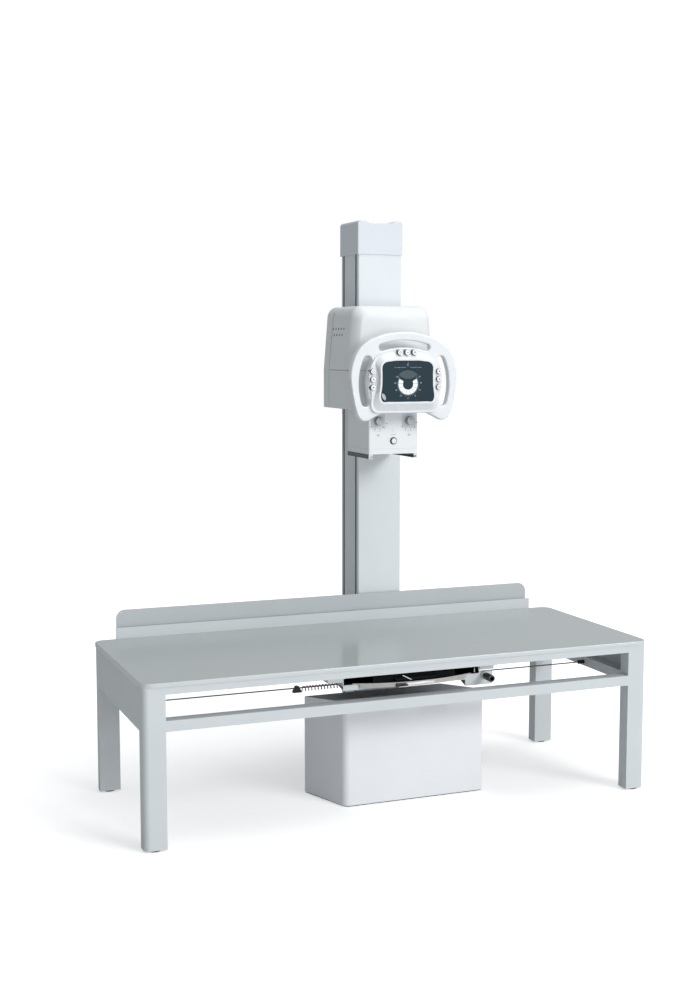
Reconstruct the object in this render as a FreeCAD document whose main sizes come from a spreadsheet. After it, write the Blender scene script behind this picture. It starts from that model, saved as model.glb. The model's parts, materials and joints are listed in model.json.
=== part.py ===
import FreeCAD, Part
import Sketcher
import math
import os
from types import SimpleNamespace
from FreeCAD import Placement, Rotation, Vector

# Radiography table with a rail-guided tube stand.
# Frame: millimetres, origin on the floor under the centre of the tabletop,
# +X to the patient's feet, +Y to the column side, +Z up.

doc = FreeCAD.newDocument("RadiographyTable")

# ---------------------------------------------------------------- sizes
SIZES = dict(
    # table
    table_length=2000, table_width=790, table_height=590,
    top_thickness=16, top_corner=40, top_edge=4,
    frame_inset=5,
    leg_width=80, leg_depth=55, leg_wall=3, leg_corner=22,
    foot_height=6, foot_radius=22,
    apron_height=27, apron_sheet=3, apron_flange=18,
    rail_drop=118, rail_height=38, rail_depth=50, rail_wall=3,
    end_sheet=6, end_rail_width=50,
    # rear strip and guard
    strip_margin=90, strip_thickness=6, strip_rise=42, strip_drop=36,
    guard_inset=7, guard_gap=16, guard_thickness=6, guard_rise=108,
    guard_drop=30, guard_corner=35,
    standoff_radius=8, standoff_count=5, standoff_margin=80,
    # bucky
    bucky_centre=26.5, bucky_width=549, bucky_front=332, bucky_back=290,
    bucky_sheet=4, bucky_top_gap=10, bucky_height=60, bucky_lip=46,
    grid_thickness=6, grid_margin=30,
    tray_gap=8, tray_thickness=4, tray_bow=48, tray_shoulder=20, tray_length=560,
    tray_lip_height=13, tray_lip_end=30, tray_lift=0.5,
    clamp_width=164, clamp_depth=16, clamp_height=12, clamp_jaw=6, clamp_jaw_height=22,
    clamp_gap=0.3,
    guide_rail_width=30, guide_rail_height=26, guide_rail_sheet=3, guide_slot=14,
    wing_reach=58, wing_lift=16, wing_height=23, wing_depth=60, wing_neck_inset=10,
    hook_width=10, hook_clearance=1, guide_rail_gap=1, front_plate_drop=16,
    lock_reach=15, lock_drop=90, lock_radius=11, lock_length=58, lock_round=3.6,
    collar_radius=14, collar_length=12,
    bracket_width=60, bracket_sheet=4, bracket_drop=22, bracket_reach=37, bracket_cut=15,
    flange_depth=8, gusset_depth=76,
    # guide wire and curly cord
    wire_radius=2.5, wire_place=-20, wire_drop=156, fitting_radius=8, fitting_length=26,
    coil_radius=11, coil_wall=4, coil_length=165, coil_gap=46, wire_play=0.5,
    clip_length=35, clip_height=24, clip_width=20, clip_shoulder=12,
    # cabinet
    cabinet_width=577, cabinet_skew=78, cabinet_depth=230, cabinet_height=403,
    cabinet_back_height=381, cabinet_front=178, cabinet_centre=111.5, cabinet_sheet=3,
    cabinet_corner=30, cabinet_edge=9, cabinet_lift=4, plinth_height=30, plinth_gap=1,
    tank_length=300, tank_depth=120, tank_height=210, tank_corner=20,
    # rail that carries the column, behind the table
    beam_length=1920, beam_depth=40, beam_height=150, beam_drop=70, beam_sheet=6, beam_slot=40,
    # column
    column_centre=226, column_front=452, column_width=192, column_depth=190,
    column_wall=10, column_corner=6, column_top=2110,
    groove_width=16, groove_depth=6, groove_inset=20,
    rear_slot=30,
    cap_skirt=4, cap_lap=12, cap_height=137, cap_corner=14, cap_cheek=30, cap_dip=9, cap_sheet=4,
    foot_lift=24, foot_block_height=50, foot_block_spread=26, foot_block_corner=16,
    wheel_radius=30, wheel_width=20, wheel_round=3, wheel_gap=0.4, wheel_axle=6,
    wheel_slot_gap=4, wheel_side_gap=2, wheel_slot_margin=6,
    trolley_width=300, trolley_gap=2, trolley_rise=15,
    # lift
    pulley_radius=60, pulley_width=24, pulley_flange=5, pulley_flange_width=3,
    pulley_hole_count=5, pulley_ring_share=0.58, pulley_hole_share=0.2,
    axle_radius=8, axle_clearance=0.05,
    belt_thickness=4, belt_width=20, belt_lift=0.3, belt_gap=1, top_pulley_drop=80, bottom_pulley_rise=110,
    weight_width=150, weight_depth=106, weight_height=465, weight_bottom=520,
    weight_chamfer=8, belt_play=4,
    # carriage
    carriage_bottom=1500, carriage_height=340, cheek_width=29, cheek_top_width=14,
    cheek_gap=4, cheek_chamfer=6,
    cheek_wall=4, front_bridge=9, column_gap=3, rear_bridge=8, rear_gap=4,
    lug_gap=4, lug_reach=50, shoe_length=44, shoe_play=0.5, shoe_margin=20,
    # telescopic arm
    slide_height=56, slide_level=1655, mid_slide_width=9, slide_gap=1, slide_tip_gap=0.5,
    arm_plate=9, arm_plate_height=230, arm_plate_gap=1, arm_plate_taper=12,
    hub_radius=62, hub_gap=0.5, shaft_radius=35, shaft_length=14.5, shaft_clearance=0.08,
    cover_back=482, cover_gap=1, cover_notch_gap=6, cover_seam=0.3, cover_hole_gap=1,
    shell=3.5,
    # tube head
    head_centre=177, head_front=193, head_back=424, head_half_width=188,
    hood_bottom=1475, hood_seam=1629, hood_top=1882, hood_taper=20, hood_shoulder=44,
    hood_bevel=34, hood_edge=8, hood_gap=1.5,
    vent_radius=4, vent_pitch=29, vent_row_gap=24, vent_level=1792, vent_share=0.713,
    swivel_level=1660, back_plate=4,
    tube_radius=76, tube_length=300, tube_level=1620, tube_bell=30, tube_port_radius=35,
    port_gap=1, port_lift=0.5,
    bracket_half=60, receptacle_radius=24, receptacle_length=46, receptacle_share=0.2,
    # collimator
    collimator_width=212, collimator_front=196, collimator_depth=228, collimator_bottom=1296,
    collimator_sheet=4, collimator_corner=6, collimator_aperture=120,
    window_thickness=2, window_margin=10,
    rack_height=18, rack_width=17, rack_slot=5, rack_lip=4, rack_groove=11,
    knob_spacing=134, knob_level=1428, knob_radius=17, knob_length=23, knob_cap=3,
    knob_shaft=4, knob_gap=0.6, knob_recess=6,
    lamp_level=1348, lamp_radius=11, lamp_length=8, lamp_round=2, lamp_hole_gap=0.4,
    # control panel
    panel_half_width=225, panel_height=346, panel_top=1779, panel_front=86,
    panel_rim_depth=14, panel_back_depth=22, panel_edge=6, panel_back_edge=9,
    grip_bar=33, grip_gap=36, grip_length=160, grip_bend=13, grip_level=1588,
    grip_top_lean_share=1.4, grip_foot_lean_share=0.8, top_grip=190, top_grip_gap=28,
    panel_step=10, panel_bulge=30,
    display_rim=7, display_recess=1, display_thickness=3, display_gap=0.3,
    button_radius=11, button_rise=10, button_travel=2, button_gap=0.4,
    button_pitch=30.5, button_level=1595, button_inset=16, top_button_drop=80, button_step=8,
    neck_width=190, neck_height=180, neck_bottom=1500, neck_round=20, button_round=2.5,
)


class Dim:
    """A length: its number, and the sheet formula that gives it."""

    def __init__(self, value, text):
        self.value, self.text = value, text

    def _with(self, other, sign, value):
        return Dim(value, "(%s %s %s)" % (self.text, sign, formula(other)))

    def __add__(self, other):
        return self._with(other, "+", self.value + number(other))

    def __sub__(self, other):
        return self._with(other, "-", self.value - number(other))

    def __mul__(self, other):
        return self._with(other, "*", self.value * number(other))

    def __truediv__(self, other):
        return self._with(other, "/", self.value / number(other))

    def __neg__(self):
        return Dim(-self.value, "(0 - %s)" % self.text)

    def __rsub__(self, other):
        return (-self) + other

    __radd__, __rmul__ = __add__, __mul__


def number(length):
    return length.value if isinstance(length, Dim) else float(length)


def formula(length):
    return length.text if isinstance(length, Dim) else repr(float(length))


def fill_sheet():
    """Put every size in the sheet and give it back as a Dim."""
    sheet = doc.addObject("Spreadsheet::Sheet", "Sizes")
    found = {}
    for row, (alias, value) in enumerate(SIZES.items(), start=1):
        sheet.set("A%d" % row, alias)
        sheet.set("B%d" % row, str(value))
        sheet.setAlias("B%d" % row, alias)
    doc.recompute()
    for alias in SIZES:
        found[alias] = Dim(float(getattr(sheet, alias)), "Sizes." + alias)
    return SimpleNamespace(**found)


s = fill_sheet()
parts = {}


# ---------------------------------------------------------------- helpers
def bind(thing, prop, length):
    thing.setExpression(prop, formula(length))


def place(thing, x=0, y=0, z=0):
    for axis, length in zip("xyz", (x, y, z)):
        bind(thing, "Placement.Base." + axis, length)


def keep(name, thing):
    """Name a finished sub-part."""
    thing.Label = name
    parts[name] = thing
    return thing


def block(name, x, y, z):
    """A box between two planes on each axis."""
    box = doc.addObject("Part::Box", name)
    for prop, (low, high) in zip(("Length", "Width", "Height"), (x, y, z)):
        bind(box, prop, high - low if isinstance(high, Dim) else -(low - high))
    place(box, x[0], y[0], z[0])
    return box


TURN = {"x": Rotation(Vector(0, 1, 0), 90), "y": Rotation(Vector(1, 0, 0), -90),
        "z": Rotation()}


def rod(name, axis, radius, start, length):
    """A cylinder that starts at a point and runs along +axis."""
    cylinder = doc.addObject("Part::Cylinder", name)
    bind(cylinder, "Radius", radius)
    bind(cylinder, "Height", length)
    cylinder.Placement = Placement(Vector(), TURN[axis])
    place(cylinder, *start)
    return cylinder


def join(name, pieces):
    fuse = doc.addObject("Part::MultiFuse", name)
    fuse.Shapes = list(pieces)
    fuse.Refine = True
    return fuse


def group(name, pieces):
    """Separate solids that share one node."""
    compound = doc.addObject("Part::Compound", name)
    compound.Links = list(pieces)
    return compound


def cut(name, base, tools):
    tool = tools[0] if len(tools) == 1 else join(name + "Tools", tools)
    result = doc.addObject("Part::Cut", name)
    result.Base, result.Tool, result.Refine = base, tool, True
    return result


def edges(shape, axis=None, where=lambda point: True):
    """Numbers of edges: with an axis, the straight ones along it whose middle passes
    the test; without one, every edge whose ends and middle all pass it."""
    found = []
    for index, edge in enumerate(shape.Edges, start=1):
        start, end = edge.firstVertex().Point, edge.lastVertex().Point
        middle = edge.valueAt((edge.FirstParameter + edge.LastParameter) / 2)
        run = end - start
        if axis:
            straight = run.Length > 1e-6 and abs(run.Length - edge.Length) < 1e-6
            if straight and abs(getattr(run, axis)) > 0.999 * run.Length and where(middle):
                found.append(index)
        elif where(start) and where(middle) and where(end):
            found.append(index)
    return found


def rounded(name, base, radius, axis=None, where=lambda point: True):
    doc.recompute()
    fillet = doc.addObject("Part::Fillet", name)
    fillet.Base = base
    fillet.Edges = [(index, number(radius), number(radius))
                    for index in edges(base.Shape, axis, where)]
    return fillet


def chamfered(name, base, size, axis=None, where=lambda point: True):
    doc.recompute()
    chamfer = doc.addObject("Part::Chamfer", name)
    chamfer.Base = base
    chamfer.Edges = [(index, number(size), number(size))
                     for index in edges(base.Shape, axis, where)]
    return chamfer


PLANES = {"XY": "XY_Plane", "XZ": "XZ_Plane", "YZ": "YZ_Plane"}


def sketch_on(body, plane, name, points):
    """A closed outline of straight lines, every corner bound to the sheet."""
    sketch = body.newObject("Sketcher::SketchObject", name)
    for feature in body.Origin.OriginFeatures:
        if feature.Role == PLANES[plane]:
            sketch.AttachmentSupport = [(feature, "")]
    sketch.MapMode = "FlatFace"
    corners = [Vector(number(u), number(v), 0) for u, v in points]
    count = len(corners)
    for i in range(count):
        sketch.addGeometry(Part.LineSegment(corners[i], corners[(i + 1) % count]), False)
    for i in range(count):
        sketch.addConstraint(Sketcher.Constraint("Coincident", i, 2, (i + 1) % count, 1))
    for i, (u, v) in enumerate(points):
        for kind, length in (("DistanceX", u), ("DistanceY", v)):
            index = sketch.addConstraint(
                Sketcher.Constraint(kind, -1, 1, i, 1, number(length)))
            if isinstance(length, Dim):
                sketch.setExpression("Constraints[%d]" % index, length.text)
    return sketch


def prism(name, plane, points, depth, at=(0, 0, 0)):
    """A body padded from an outline along +X, +Y or +Z."""
    body = doc.addObject("PartDesign::Body", name)
    place(body, *at)
    pad = body.newObject("PartDesign::Pad", name + "Pad")
    pad.Profile = sketch_on(body, plane, name + "Outline", points)
    bind(pad, "Length", depth)
    pad.Reversed = plane == "XZ"
    body.Tip = pad
    doc.recompute()
    return body


def pocket(body, plane, name, points, depth=None):
    """Cut an outline out of a body, right through or to a depth along +X, +Y or +Z."""
    feature = body.newObject("PartDesign::Pocket", name)
    feature.Profile = sketch_on(body, plane, name + "Outline", points)
    feature.Reversed = plane != "XZ"
    if depth is None:
        feature.Type = "ThroughAll"
        feature.Midplane = True
    else:
        bind(feature, "Length", depth)
    body.Tip = feature
    doc.recompute()
    return body


def soften(body, name, radius, axis=None, where=lambda point: True):
    """Round edges of a body. The test sees points in the body's own frame."""
    tip = body.Tip
    fillet = body.newObject("PartDesign::Fillet", name)
    fillet.Base = (tip, ["Edge%d" % index for index in edges(tip.Shape, axis, where)])
    bind(fillet, "Radius", radius)
    body.Tip = fillet
    doc.recompute()
    return body


def rectangle(x, y):
    return [(x[0], y[0]), (x[1], y[0]), (x[1], y[1]), (x[0], y[1])]


def solid(name, shape, at=Vector()):
    """A Part::Feature for a form that neither a body nor a primitive fits."""
    feature = doc.addObject("Part::Feature", name)
    feature.Shape = shape
    feature.Placement = Placement(at, Rotation())
    return feature


# ---------------------------------------------------------------- table frame
half_length, half_width = s.table_length / 2, s.table_width / 2
top_underside = s.table_height - s.top_thickness
frame_x, frame_y = half_length - s.frame_inset, half_width - s.frame_inset
leg_x, leg_y = frame_x - s.leg_width, frame_y - s.leg_depth
rail_top = top_underside - s.rail_drop
rail_bottom = rail_top - s.rail_height
apron_bottom = top_underside - s.apron_height


def make_tabletop():
    outline = rectangle((-half_length, half_length), (-half_width, half_width))
    top = prism("tabletop", "XY", outline, s.top_thickness, (0, 0, top_underside))
    soften(top, "TopCorners", s.top_corner, "z")
    upper = number(s.top_thickness)
    soften(top, "TopEdge", s.top_edge, where=lambda p: abs(p.z - upper) < 0.1)
    keep("tabletop", top)


def leg_tube(name, front):
    """A closed-bottom tube leg of the left end, its outer corner rounded."""
    low, high = (-frame_y, -leg_y) if front else (leg_y, frame_y)
    wall = s.leg_wall
    corner = number(low if front else high)
    inner_corner = number(low + wall if front else high - wall)
    middle = number(-frame_x) + number(s.leg_width) / 2
    blank = block(name + "Blank", (-frame_x, -leg_x), (low, high), (s.foot_height, top_underside))
    tube = rounded(name + "Tube", blank, s.leg_corner, "z",
                   lambda p: p.x < middle and abs(p.y - corner) < 0.1)
    void = block(name + "Void", (-frame_x + wall, -leg_x - wall), (low + wall, high - wall),
                 (s.foot_height + wall, top_underside))
    hollow = rounded(name + "Hollow", void, s.leg_corner - wall, "z",
                     lambda p: p.x < middle and abs(p.y - inner_corner) < 0.1)
    return cut(name, tube, [hollow])


def make_end_frames():
    """Each end is one welded frame: two legs, a closing sheet and a low rail."""
    sheet_x = -frame_x + s.end_sheet
    rail_x = sheet_x + s.end_rail_width
    rail_blank = block("EndRailBlank", (sheet_x, rail_x), (-leg_y, leg_y), (rail_bottom, rail_top))
    rail_void = block("EndRailVoid", (sheet_x + s.rail_wall, rail_x - s.rail_wall), (-leg_y, leg_y),
                      (rail_bottom + s.rail_wall, rail_top - s.rail_wall))
    left = join("EndFrameWeldment", [
        leg_tube("FrontLeg", True), leg_tube("RearLeg", False),
        block("EndSheet", (-frame_x, sheet_x), (-leg_y, leg_y), (rail_bottom, top_underside)),
        cut("EndRail", rail_blank, [rail_void])])
    keep("end_frame_left", left)
    keep("end_frame_right", mirrored("EndFrameMirror", left, Vector(1, 0, 0)))
    return rail_x


def mirrored(name, source, normal):
    mirror = doc.addObject("Part::Mirroring", name)
    mirror.Source, mirror.Normal, mirror.Base = source, normal, Vector()
    return mirror


def make_aprons_and_rails():
    """Long members between the end frames: a folded apron above, a tube rail below."""
    face, sheet = -frame_y, s.apron_sheet
    fold = face + s.apron_flange
    apron = prism("FrontApron", "YZ", [
        (face, apron_bottom), (fold, apron_bottom), (fold, apron_bottom + sheet),
        (face + sheet, apron_bottom + sheet), (face + sheet, top_underside - sheet),
        (fold, top_underside - sheet), (fold, top_underside), (face, top_underside)],
        leg_x * 2, (-leg_x, 0, 0))
    keep("side_aprons", group("SideAprons", [apron, mirrored("RearApron", apron,
                                                             Vector(0, 1, 0))]))
    inner = face + s.rail_depth
    blank = block("RailBlank", (-leg_x, leg_x), (face, inner), (rail_bottom, rail_top))
    void = block("RailVoid", (-leg_x, leg_x), (face + s.rail_wall, inner - s.rail_wall),
                 (rail_bottom + s.rail_wall, rail_top - s.rail_wall))
    rail = cut("FrontRailTube", blank, [void])
    keep("side_rails", group("SideRails", [rail, mirrored("RearRail", rail, Vector(0, 1, 0))]))


def make_feet():
    x, y = frame_x - s.leg_width / 2, frame_y - s.leg_depth / 2
    feet = []
    for i, (side, end) in enumerate(((-1, -1), (-1, 1), (1, -1), (1, 1))):
        feet.append(rod("Foot%d" % i, "z", s.foot_radius, (x * side, y * end, 0), s.foot_height))
    keep("levelling_feet", group("Feet", feet))


def make_rear_strip():
    """A flat strip on the rear edge of the top, with discs that carry the guard."""
    back = half_width + s.strip_thickness
    low, high = s.table_height - s.strip_drop, s.table_height + s.strip_rise
    half = half_length - s.strip_margin
    pieces = [block("StripFlat", (-half, half), (half_width, back), (low, high))]
    level = (low + high) / 2
    span = half - s.standoff_margin
    count = int(number(s.standoff_count))
    for i in range(count):
        x = span * (2.0 * i / (count - 1) - 1)
        pieces.append(rod("Standoff%d" % i, "y", s.standoff_radius, (x, back, level), s.guard_gap))
    keep("rear_strip", join("RearStrip", pieces))
    front = back + s.guard_gap
    half = half - s.guard_inset
    low = s.table_height - s.guard_drop
    high = s.table_height + s.guard_rise
    guard = prism("guard_panel", "XZ", rectangle((-half, half), (low, high)),
                  s.guard_thickness, (0, front, 0))
    middle = number(s.table_height)
    soften(guard, "GuardCorners", s.guard_corner, "y", lambda p: p.z > middle)
    keep("guard_panel", guard)
    return front + s.guard_thickness


def make_travel_rail():
    """A lipped channel behind the rear legs, open to the column."""
    web, back = frame_y, frame_y + s.beam_depth
    high = s.table_height - s.beam_drop
    low = high - s.beam_height
    t = s.beam_sheet
    lip_low = (low + high) / 2 - s.beam_slot
    lip_high = (low + high) / 2 + s.beam_slot
    rail = prism("column_travel_rail", "YZ", [
        (web, low), (back, low), (back, lip_low), (back - t, lip_low), (back - t, low + t),
        (web + t, low + t), (web + t, high - t), (back - t, high - t), (back - t, lip_high),
        (back, lip_high), (back, high), (web, high)],
        s.beam_length, (-(s.beam_length / 2), 0, 0))
    keep("column_travel_rail", rail)
    return web + t, back, low, high, lip_low, lip_high


def make_guide_wire(rail_x):
    """A taut wire from end rail to end rail, with a screwed fitting at each end."""
    y, z = s.wire_place, s.table_height - s.wire_drop
    pieces = [rod("Wire", "x", s.wire_radius, (rail_x, y, z), rail_x * -2),
              rod("FittingLeft", "x", s.fitting_radius, (rail_x, y, z), s.fitting_length),
              rod("FittingRight", "x", s.fitting_radius, (-rail_x - s.fitting_length, y, z),
                  s.fitting_length)]
    keep("guide_wire", join("GuideWire", pieces))


make_tabletop()
end_rail_x = make_end_frames()
make_aprons_and_rails()
make_feet()
guard_back = make_rear_strip()
channel = make_travel_rail()
make_guide_wire(end_rail_x)


# ---------------------------------------------------------------- cabinet
def make_cabinet():
    """A skewed pedestal cabinet, its top falling to the rear, over a plinth and a tank."""
    def plan(inset):
        half, front = s.cabinet_width / 2 - inset, -s.cabinet_front + inset
        back = s.cabinet_depth - s.cabinet_front - inset
        return [(s.cabinet_centre - half, front), (s.cabinet_centre + half, front),
                (s.cabinet_centre + half - s.cabinet_skew, back),
                (s.cabinet_centre - half - s.cabinet_skew, back)]

    def shell(name, inset, base, top):
        """The cabinet's outline between two levels, its two front corners rounded."""
        body = prism(name, "XY", plan(inset), top - base, (0, 0, base))
        for word, radius, side in (("Left", s.cabinet_corner, -1), ("Right", s.cabinet_edge, 1)):
            soften(body, name + word, radius - inset, "z", lambda p, side=side: (
                p.y < number(inset - s.cabinet_front) + 1
                and (p.x - number(s.cabinet_centre)) * side > 0))
        return body
    t = s.cabinet_sheet
    front, back = -s.cabinet_front, s.cabinet_depth - s.cabinet_front
    fall = (s.cabinet_height - s.cabinet_back_height) / s.cabinet_depth
    reach = s.cabinet_width + s.cabinet_skew * 2

    def above(name, drop):
        """What lies over the slanted top, lowered by a wall."""
        return prism(name, "YZ", [
            (front, s.cabinet_height - drop), (back, s.cabinet_height - drop - fall * s.cabinet_depth),
            (back, s.cabinet_height + t), (front, s.cabinet_height + t)],
            reach, (s.cabinet_centre - reach / 2, 0, 0))
    void = cut("CoverRoom", shell("CoverVoid", t, s.cabinet_lift, s.cabinet_height - t),
               [above("RoomTop", t)])
    outer = shell("CoverOuter", 0, s.cabinet_lift, s.cabinet_height)
    keep("cabinet_cover", cut("CabinetCover", outer, [above("CoverTop", 0), void]))
    gap = t + s.plinth_gap
    keep("cabinet_base", shell("cabinet_base", gap, s.plinth_height * 0, s.plinth_height))
    middle = s.cabinet_depth / 2 - s.cabinet_front
    centre = s.cabinet_centre - s.cabinet_skew / 2
    tank = block("TankBlank", (centre - s.tank_length / 2, centre + s.tank_length / 2),
                 (middle - s.tank_depth / 2, middle + s.tank_depth / 2),
                 (s.plinth_height, s.plinth_height + s.tank_height))
    keep("generator_tank", rounded("GeneratorTank", tank, s.tank_corner, "z"))


make_cabinet()


# ---------------------------------------------------------------- bucky
bucky_left = s.bucky_centre - s.bucky_width / 2
bucky_right = s.bucky_centre + s.bucky_width / 2
bucky_top = top_underside - s.bucky_top_gap
bucky_bottom = bucky_top - s.bucky_height
tray_level = bucky_bottom + s.bucky_sheet


def lock_place():
    """Where the lock's axis meets the front of its bracket."""
    return (bucky_right + s.lock_reach, s.table_height - s.lock_drop,
            -s.bucky_front - s.bracket_sheet)


def make_bucky_housing():
    """A folded tunnel, open in front and underneath, with two lips for the tray, a strip
    across the front below them and the bracket of the lock."""
    t, lip = s.bucky_sheet, s.bucky_lip
    housing = prism("bucky_housing", "XZ", [
        (bucky_left, bucky_bottom), (bucky_left + lip, bucky_bottom),
        (bucky_left + lip, bucky_bottom + t), (bucky_left + t, bucky_bottom + t),
        (bucky_left + t, bucky_top - t), (bucky_right - t, bucky_top - t),
        (bucky_right - t, bucky_bottom + t), (bucky_right - lip, bucky_bottom + t),
        (bucky_right - lip, bucky_bottom), (bucky_right, bucky_bottom),
        (bucky_right, bucky_top), (bucky_left, bucky_top)],
        s.bucky_front + s.bucky_back, (0, -s.bucky_front, 0))
    back = block("BuckyBackWall", (bucky_left + t, bucky_right - t),
                 (s.bucky_back - t, s.bucky_back), (bucky_bottom + t, bucky_top - t))
    x, z, front = lock_place()
    t, low = s.bracket_sheet, z - s.collar_radius - s.bracket_drop
    seat = bucky_bottom + s.bucky_sheet
    edge = bucky_right - s.bracket_width
    bracket = prism("LockBracket", "XZ", [
        (edge, seat - s.bracket_cut), (edge, low), (x + s.bracket_reach, low),
        (x + s.bracket_reach, z + s.collar_radius), (bucky_right, z + s.collar_radius),
        (bucky_right, seat), (edge + s.bracket_cut, seat)], t, (0, front, 0))
    flange = block("LockFlange", (bucky_right - t, bucky_right), (front, front + s.flange_depth),
                   (bucky_bottom, z + s.collar_radius))
    strip = block("FrontPlate", (bucky_left, bucky_right), (front, front + t),
                  (bucky_bottom - s.front_plate_drop, seat))
    plate_low, tail = bucky_bottom - s.front_plate_drop, front + s.gusset_depth
    left_web = prism("LeftGusset", "YZ", [
        (front, seat), (front, plate_low), (tail, bucky_bottom), (tail, seat)],
        t, (bucky_left, 0, 0))
    lock_web = prism("LockGusset", "YZ", [(front, plate_low), (front, low), (tail, plate_low)],
                     t, (edge, 0, 0))
    keep("bucky_housing", join("BuckyHousing", [housing, back, bracket, flange, strip,
                                                left_web, lock_web]))
    margin = s.grid_margin
    grid = block("bucky_grid", (bucky_left + margin, bucky_right - margin),
                 (-s.bucky_front + margin, s.bucky_back - margin),
                 (bucky_top - t - s.grid_thickness, bucky_top - t))
    keep("bucky_grid", grid)


def make_tray():
    """A cassette pan whose front edge bows out under the apron, with a turned-down lip."""
    left = bucky_left + s.bucky_sheet + s.tray_gap
    right = bucky_right - s.bucky_sheet - s.tray_gap
    level, t = tray_level + s.tray_lift, s.tray_thickness
    front, bow, shoulder = -s.bucky_front, s.tray_bow, s.tray_shoulder
    y0, y1 = number(front), number(front + s.tray_length)
    x0, x1, z0 = number(left), number(right), number(level)
    inset = number(shoulder)
    lip = number(s.tray_lip_height)
    chord = [Vector(x0 + inset, y0, 0), Vector((x0 + x1) / 2, y0 - number(bow), 0),
             Vector(x1 - inset, y0, 0)]
    arc = Part.Arc(*chord)

    def pan(z, height, curve):
        sides = [curve.EndPoint, Vector(x1, y0 + inset, 0), Vector(x1, y1, 0),
                 Vector(x0, y1, 0), Vector(x0, y0 + inset, 0), curve.StartPoint]
        wire = Part.Wire([curve.toShape()] + [Part.makeLine(a, b)
                                              for a, b in zip(sides, sides[1:])])
        plate = Part.Face(wire).extrude(Vector(0, 0, height))
        plate.translate(Vector(0, 0, z))
        return plate
    plate = pan(z0, number(t), arc)
    circle = arc.toShape().Curve
    centre, radius = circle.Center, circle.Radius
    wall = number(t) / 2
    ring = Part.makeCylinder(radius, lip, Vector(centre.x, centre.y, z0 - lip))
    ring = ring.cut(Part.makeCylinder(radius - wall, lip, Vector(centre.x, centre.y, z0 - lip)))
    end = inset + number(s.tray_lip_end)
    keep_box = Part.makeBox(x1 - x0 - 2 * end, number(bow) + 1, lip,
                            Vector(x0 + end, y0 - number(bow) - 1, z0 - lip))
    keep("cassette_tray", solid("CassetteTray", plate.fuse(ring.common(keep_box)).removeSplitter()))
    return level + t + s.clamp_gap


def make_tray_clamp(level):
    """The jaw that grips the cassette, with its finger bar in front."""
    middle = s.bucky_centre
    front = -s.bucky_front - s.tray_bow + s.tray_lip_height
    bar = block("ClampBar", (middle - s.clamp_width / 2, middle + s.clamp_width / 2),
                (front, front + s.clamp_depth), (level, level + s.clamp_height))
    jaw = block("ClampJaw", (middle - s.clamp_width, middle + s.clamp_width),
                (front + s.clamp_depth, front + s.clamp_depth + s.clamp_jaw),
                (level, level + s.clamp_jaw_height))
    bar = rounded("ClampBarRound", bar, s.clamp_height / 3, "x",
                  lambda p: p.y < number(front) + 1)
    keep("tray_clamp", join("TrayClamp", [bar, jaw]))


def make_guide_rails():
    """Two inverted channels under the top; the bucky hooks run in them."""
    rails, places = [], []
    half, t = s.guide_rail_width / 2, s.guide_rail_sheet
    for i, y in enumerate((-(s.bucky_front) - s.bucky_sheet - half - s.guide_rail_gap,
                           s.bucky_back + s.bucky_sheet + half + s.guide_rail_gap)):
        low = top_underside - s.guide_rail_height
        slot = s.guide_slot / 2
        rails.append(prism("GuideRail%d" % i, "YZ", [
            (y - half, low), (y - slot, low), (y - slot, low + t), (y - half + t, low + t),
            (y - half + t, top_underside - t), (y + half - t, top_underside - t),
            (y + half - t, low + t), (y + slot, low + t), (y + slot, low), (y + half, low),
            (y + half, top_underside), (y - half, top_underside)], leg_x * 2, (-leg_x, 0, 0)))
        places.append(y)
    keep("bucky_guide_rails", group("GuideRails", rails))
    return places


def make_hangers(places):
    """Four wings beside the housing, each with a hook inside a guide rail."""
    wings = []
    low = bucky_bottom + s.wing_lift
    mouth = top_underside - s.guide_rail_height
    inside = s.guide_rail_width / 2 - s.guide_rail_sheet - s.hook_clearance
    for i, (side, y) in enumerate((sx, y) for sx in (0, 1) for y in places):
        x = (bucky_left - s.wing_reach, bucky_left) if side == 0 else \
            (bucky_right, bucky_right + s.wing_reach)
        top = low + s.wing_height
        if y is places[0]:
            face = -s.bucky_front - s.bracket_sheet
            reach, tongue = (face, face + s.wing_depth), (y - s.hook_width, face)
        else:
            face = s.bucky_back
            reach, tongue = (face - s.wing_depth, face), (face, y + s.hook_width)
        plate = block("Wing%d" % i, x, reach, (low, top))
        flange = block("WingFlange%d" % i, x, tongue, (top - s.bucky_sheet, top))
        inset = (x[0] + s.wing_neck_inset, x[1] - s.wing_neck_inset)
        neck = block("WingNeck%d" % i, inset,
                     (y - s.hook_width / 2, y + s.hook_width / 2),
                     (top, mouth + s.guide_rail_sheet + s.hook_clearance))
        hook = block("WingHook%d" % i, inset, (y - inside, y + inside),
                     (mouth + s.guide_rail_sheet + s.hook_clearance,
                      top_underside - s.guide_rail_sheet - s.hook_clearance))
        wings.append(join("HangerWing%d" % i, [plate, flange, neck, hook]))
    keep("bucky_hangers", group("BuckyHangers", wings))


def make_lock():
    """The bucky lock: a collar against its bracket and a turning grip."""
    x, z, front = lock_place()
    grip = rod("LockGripBar", "y", s.lock_radius,
               (x, front - s.collar_length - s.lock_length, z), s.lock_length)
    ends = (number(front - s.collar_length - s.lock_length), number(front - s.collar_length))
    grip = rounded("LockGripRound", grip, s.lock_round, None,
                   lambda p: min(abs(p.y - end) for end in ends) < 0.1)
    collar = rod("LockCollar", "y", s.collar_radius, (x, front - s.collar_length, z),
                 s.collar_length)
    keep("bucky_lock_grip", join("BuckyLockGrip", [grip, collar]))


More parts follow.
